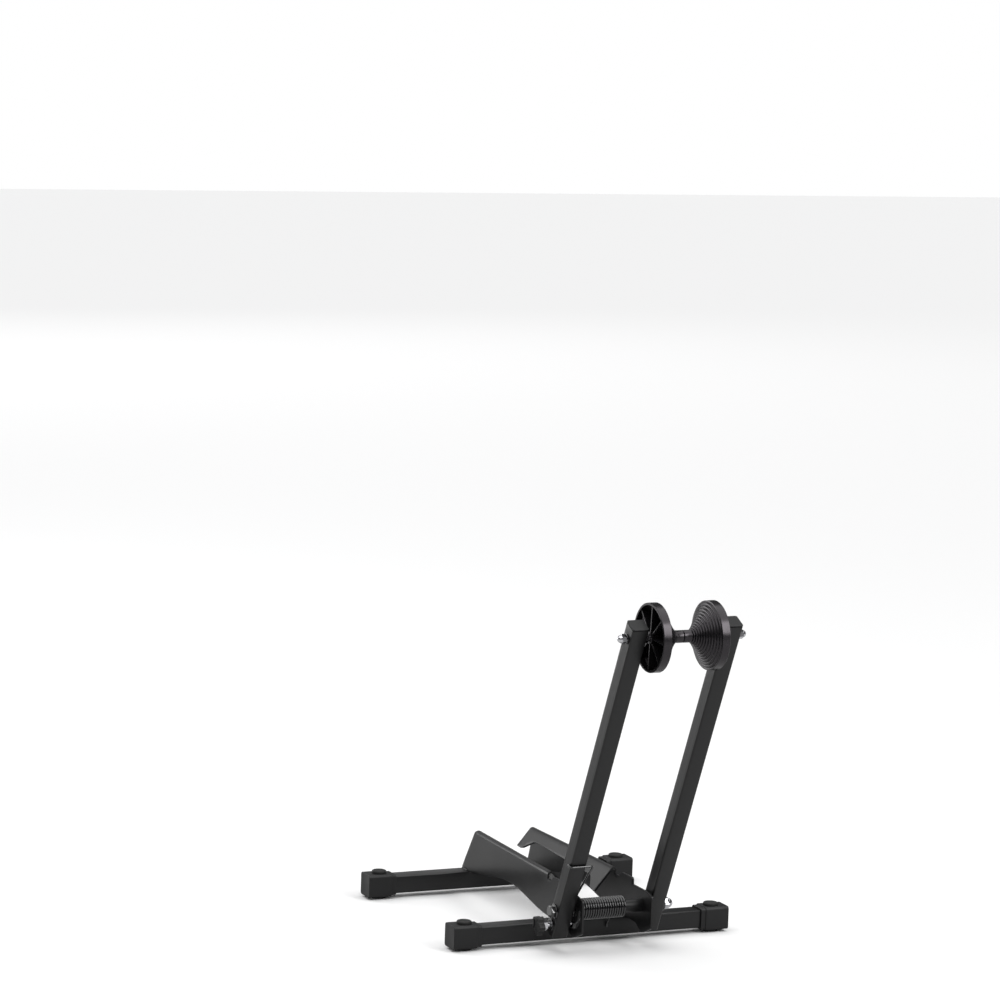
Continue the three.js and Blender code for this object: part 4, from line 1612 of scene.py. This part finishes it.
@dataclass(frozen=True)
class SoftBox:
    """A lamp with a flat, wide face.

    Attributes:
        name: the lamp's name.
        place: where it stands, in metres.
        size: its width and height, in metres.
        power: in watts.
    """

    name: str
    place: tuple[float, float, float]
    size: Pair
    power: float


@dataclass
class Studio:
    """The pale floor, the soft light and the camera.

    The backdrop and the floor each have one level for what they light and another for what the camera sees.
    """

    shift: float
    camera_place: tuple[float, float, float] = (-1917.99, -3984.92, 1120.5)
    yaw: float = 24.1239
    pitch: float = 7.6882
    roll: float = 1.8792
    lens: float = 137.139
    sensor: float = 36.0
    view_depth: float = 100.0
    floor_size: float = 30.0
    floor_levels: Pair = (0.52, 0.92)
    backdrop_levels: Pair = (0.08, 1.0)
    backdrop: str = "#f4f5f7"
    sun_power: float = 2.85
    sun_angle: float = 100.0
    sun_direction: tuple[float, float, float] = (0.1, 0.1, -1.0)
    aim_height: float = 0.15
    lamps: tuple[SoftBox, ...] = (
        SoftBox("front_box", (1.1, -2.0, 1.55), (0.8, 1.5), 25.0),
        SoftBox("left_box", (-1.7, 2.3, 0.95), (1.5, 1.4), 22.0),
        SoftBox("back_box", (0.5, 7.5, 2.6), (6.0, 2.6), 28.0),
    )

    def build(self) -> None:
        """Sets the view, the world, the floor, the lamps and the camera."""
        bpy.context.scene.view_settings.view_transform = "Standard"
        self._world()
        self._floor()
        for lamp in self.lamps:
            self._lamp(lamp)
        self._sun()
        self._camera()

    def _world(self) -> None:
        """A white backdrop that lights the rack at a plain level."""
        world = bpy.data.worlds.new("studio")
        bpy.context.scene.world = world
        tree = bare_tree(world)
        lit, seen = self.backdrop_levels
        ray = add_node(tree, "ShaderNodeLightPath")
        light = add_node(tree, "ShaderNodeBackground", {"Color": linear(self.backdrop), "Strength": lit})
        white = add_node(tree, "ShaderNodeBackground", {"Color": (1, 1, 1, 1), "Strength": seen})
        mix = add_node(tree, "ShaderNodeMixShader", {"Fac": ray.outputs["Is Camera Ray"]})
        tree.links.new(light.outputs["Background"], mix.inputs[1])
        tree.links.new(white.outputs["Background"], mix.inputs[2])
        add_node(tree, "ShaderNodeOutputWorld", {"Surface": mix.outputs["Shader"]})

    def _floor(self) -> None:
        """A plain pale floor that keeps the rack's shadow."""
        bpy.ops.mesh.primitive_plane_add(size=self.floor_size)
        floor = added("floor")
        material = bpy.data.materials.new("painted_studio_floor")
        tree = bare_tree(material)
        lit, seen = self.floor_levels
        ray = add_node(tree, "ShaderNodeLightPath").outputs["Is Camera Ray"]
        tone = add_node(tree, "ShaderNodeMapRange", {"Value": ray, "To Min": lit, "To Max": seen})
        paint = add_node(tree, "ShaderNodeBsdfDiffuse", {"Color": tone.outputs["Result"]})
        add_node(tree, "ShaderNodeOutputMaterial", {"Surface": paint.outputs["BSDF"]})
        floor.data.materials.append(material)

    def _lamp(self, box: SoftBox) -> None:
        """Adds a soft box that looks at the rack.

        Args:
            box: the lamp's place, size and power.
        """
        lamp = bpy.data.lights.new(box.name, "AREA")
        lamp.shape = "RECTANGLE"
        lamp.size, lamp.size_y = box.size
        lamp.energy = box.power
        obj = linked(box.name, lamp)
        obj.visible_camera = False
        obj.location = box.place
        towards = Vector((0, 0, self.aim_height)) - Vector(box.place)
        obj.rotation_euler = towards.to_track_quat("-Z", "Y").to_euler()

    def _sun(self) -> None:
        """A wide even light from above, which whitens the floor out to the horizon."""
        sun = bpy.data.lights.new("ceiling", "SUN")
        sun.energy = self.sun_power
        sun.angle = math.radians(self.sun_angle)
        turn = Vector(self.sun_direction).to_track_quat("-Z", "Y")
        linked("ceiling", sun).rotation_euler = turn.to_euler()

    def _camera(self) -> None:
        """The camera, where the photograph was taken from."""
        yaw, pitch, roll = (math.radians(a) for a in (self.yaw, self.pitch, self.roll))
        ahead = Vector((math.sin(yaw) * math.cos(pitch), math.cos(yaw) * math.cos(pitch), -math.sin(pitch)))
        level = Vector((math.cos(yaw), -math.sin(yaw), 0))
        upright = level.cross(ahead)
        right = level * math.cos(roll) + upright * math.sin(roll)
        up = upright * math.cos(roll) - level * math.sin(roll)
        data = bpy.data.cameras.new("camera")
        data.lens = self.lens
        data.sensor_width = self.sensor
        data.clip_end = self.view_depth
        camera = linked("camera", data)
        turn = Matrix((right, up, -ahead)).transposed().to_4x4()
        place = Vector(self.camera_place) * MM + Vector((0, self.shift, 0))
        camera.matrix_world = Matrix.Translation(place) @ turn
        bpy.context.scene.camera = camera


def main() -> None:
    """Loads the frame and builds the rack's looks round it."""
    logging.basicConfig(level=logging.INFO, format="%(name)s: %(message)s")
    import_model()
    low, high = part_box("front_cross_tube")
    frame = Frame(shift=(low.y + high.y) / 2)
    Studio(frame.shift).build()
    for assembly in (CrossTubes, SidePlates, PivotStack, TorsionSpring, Arms, AxleSet, Rollers, Lock):
        log.info("building %s", assembly.__name__)
        assembly(frame).build()


if __name__ == "__main__":
    main()
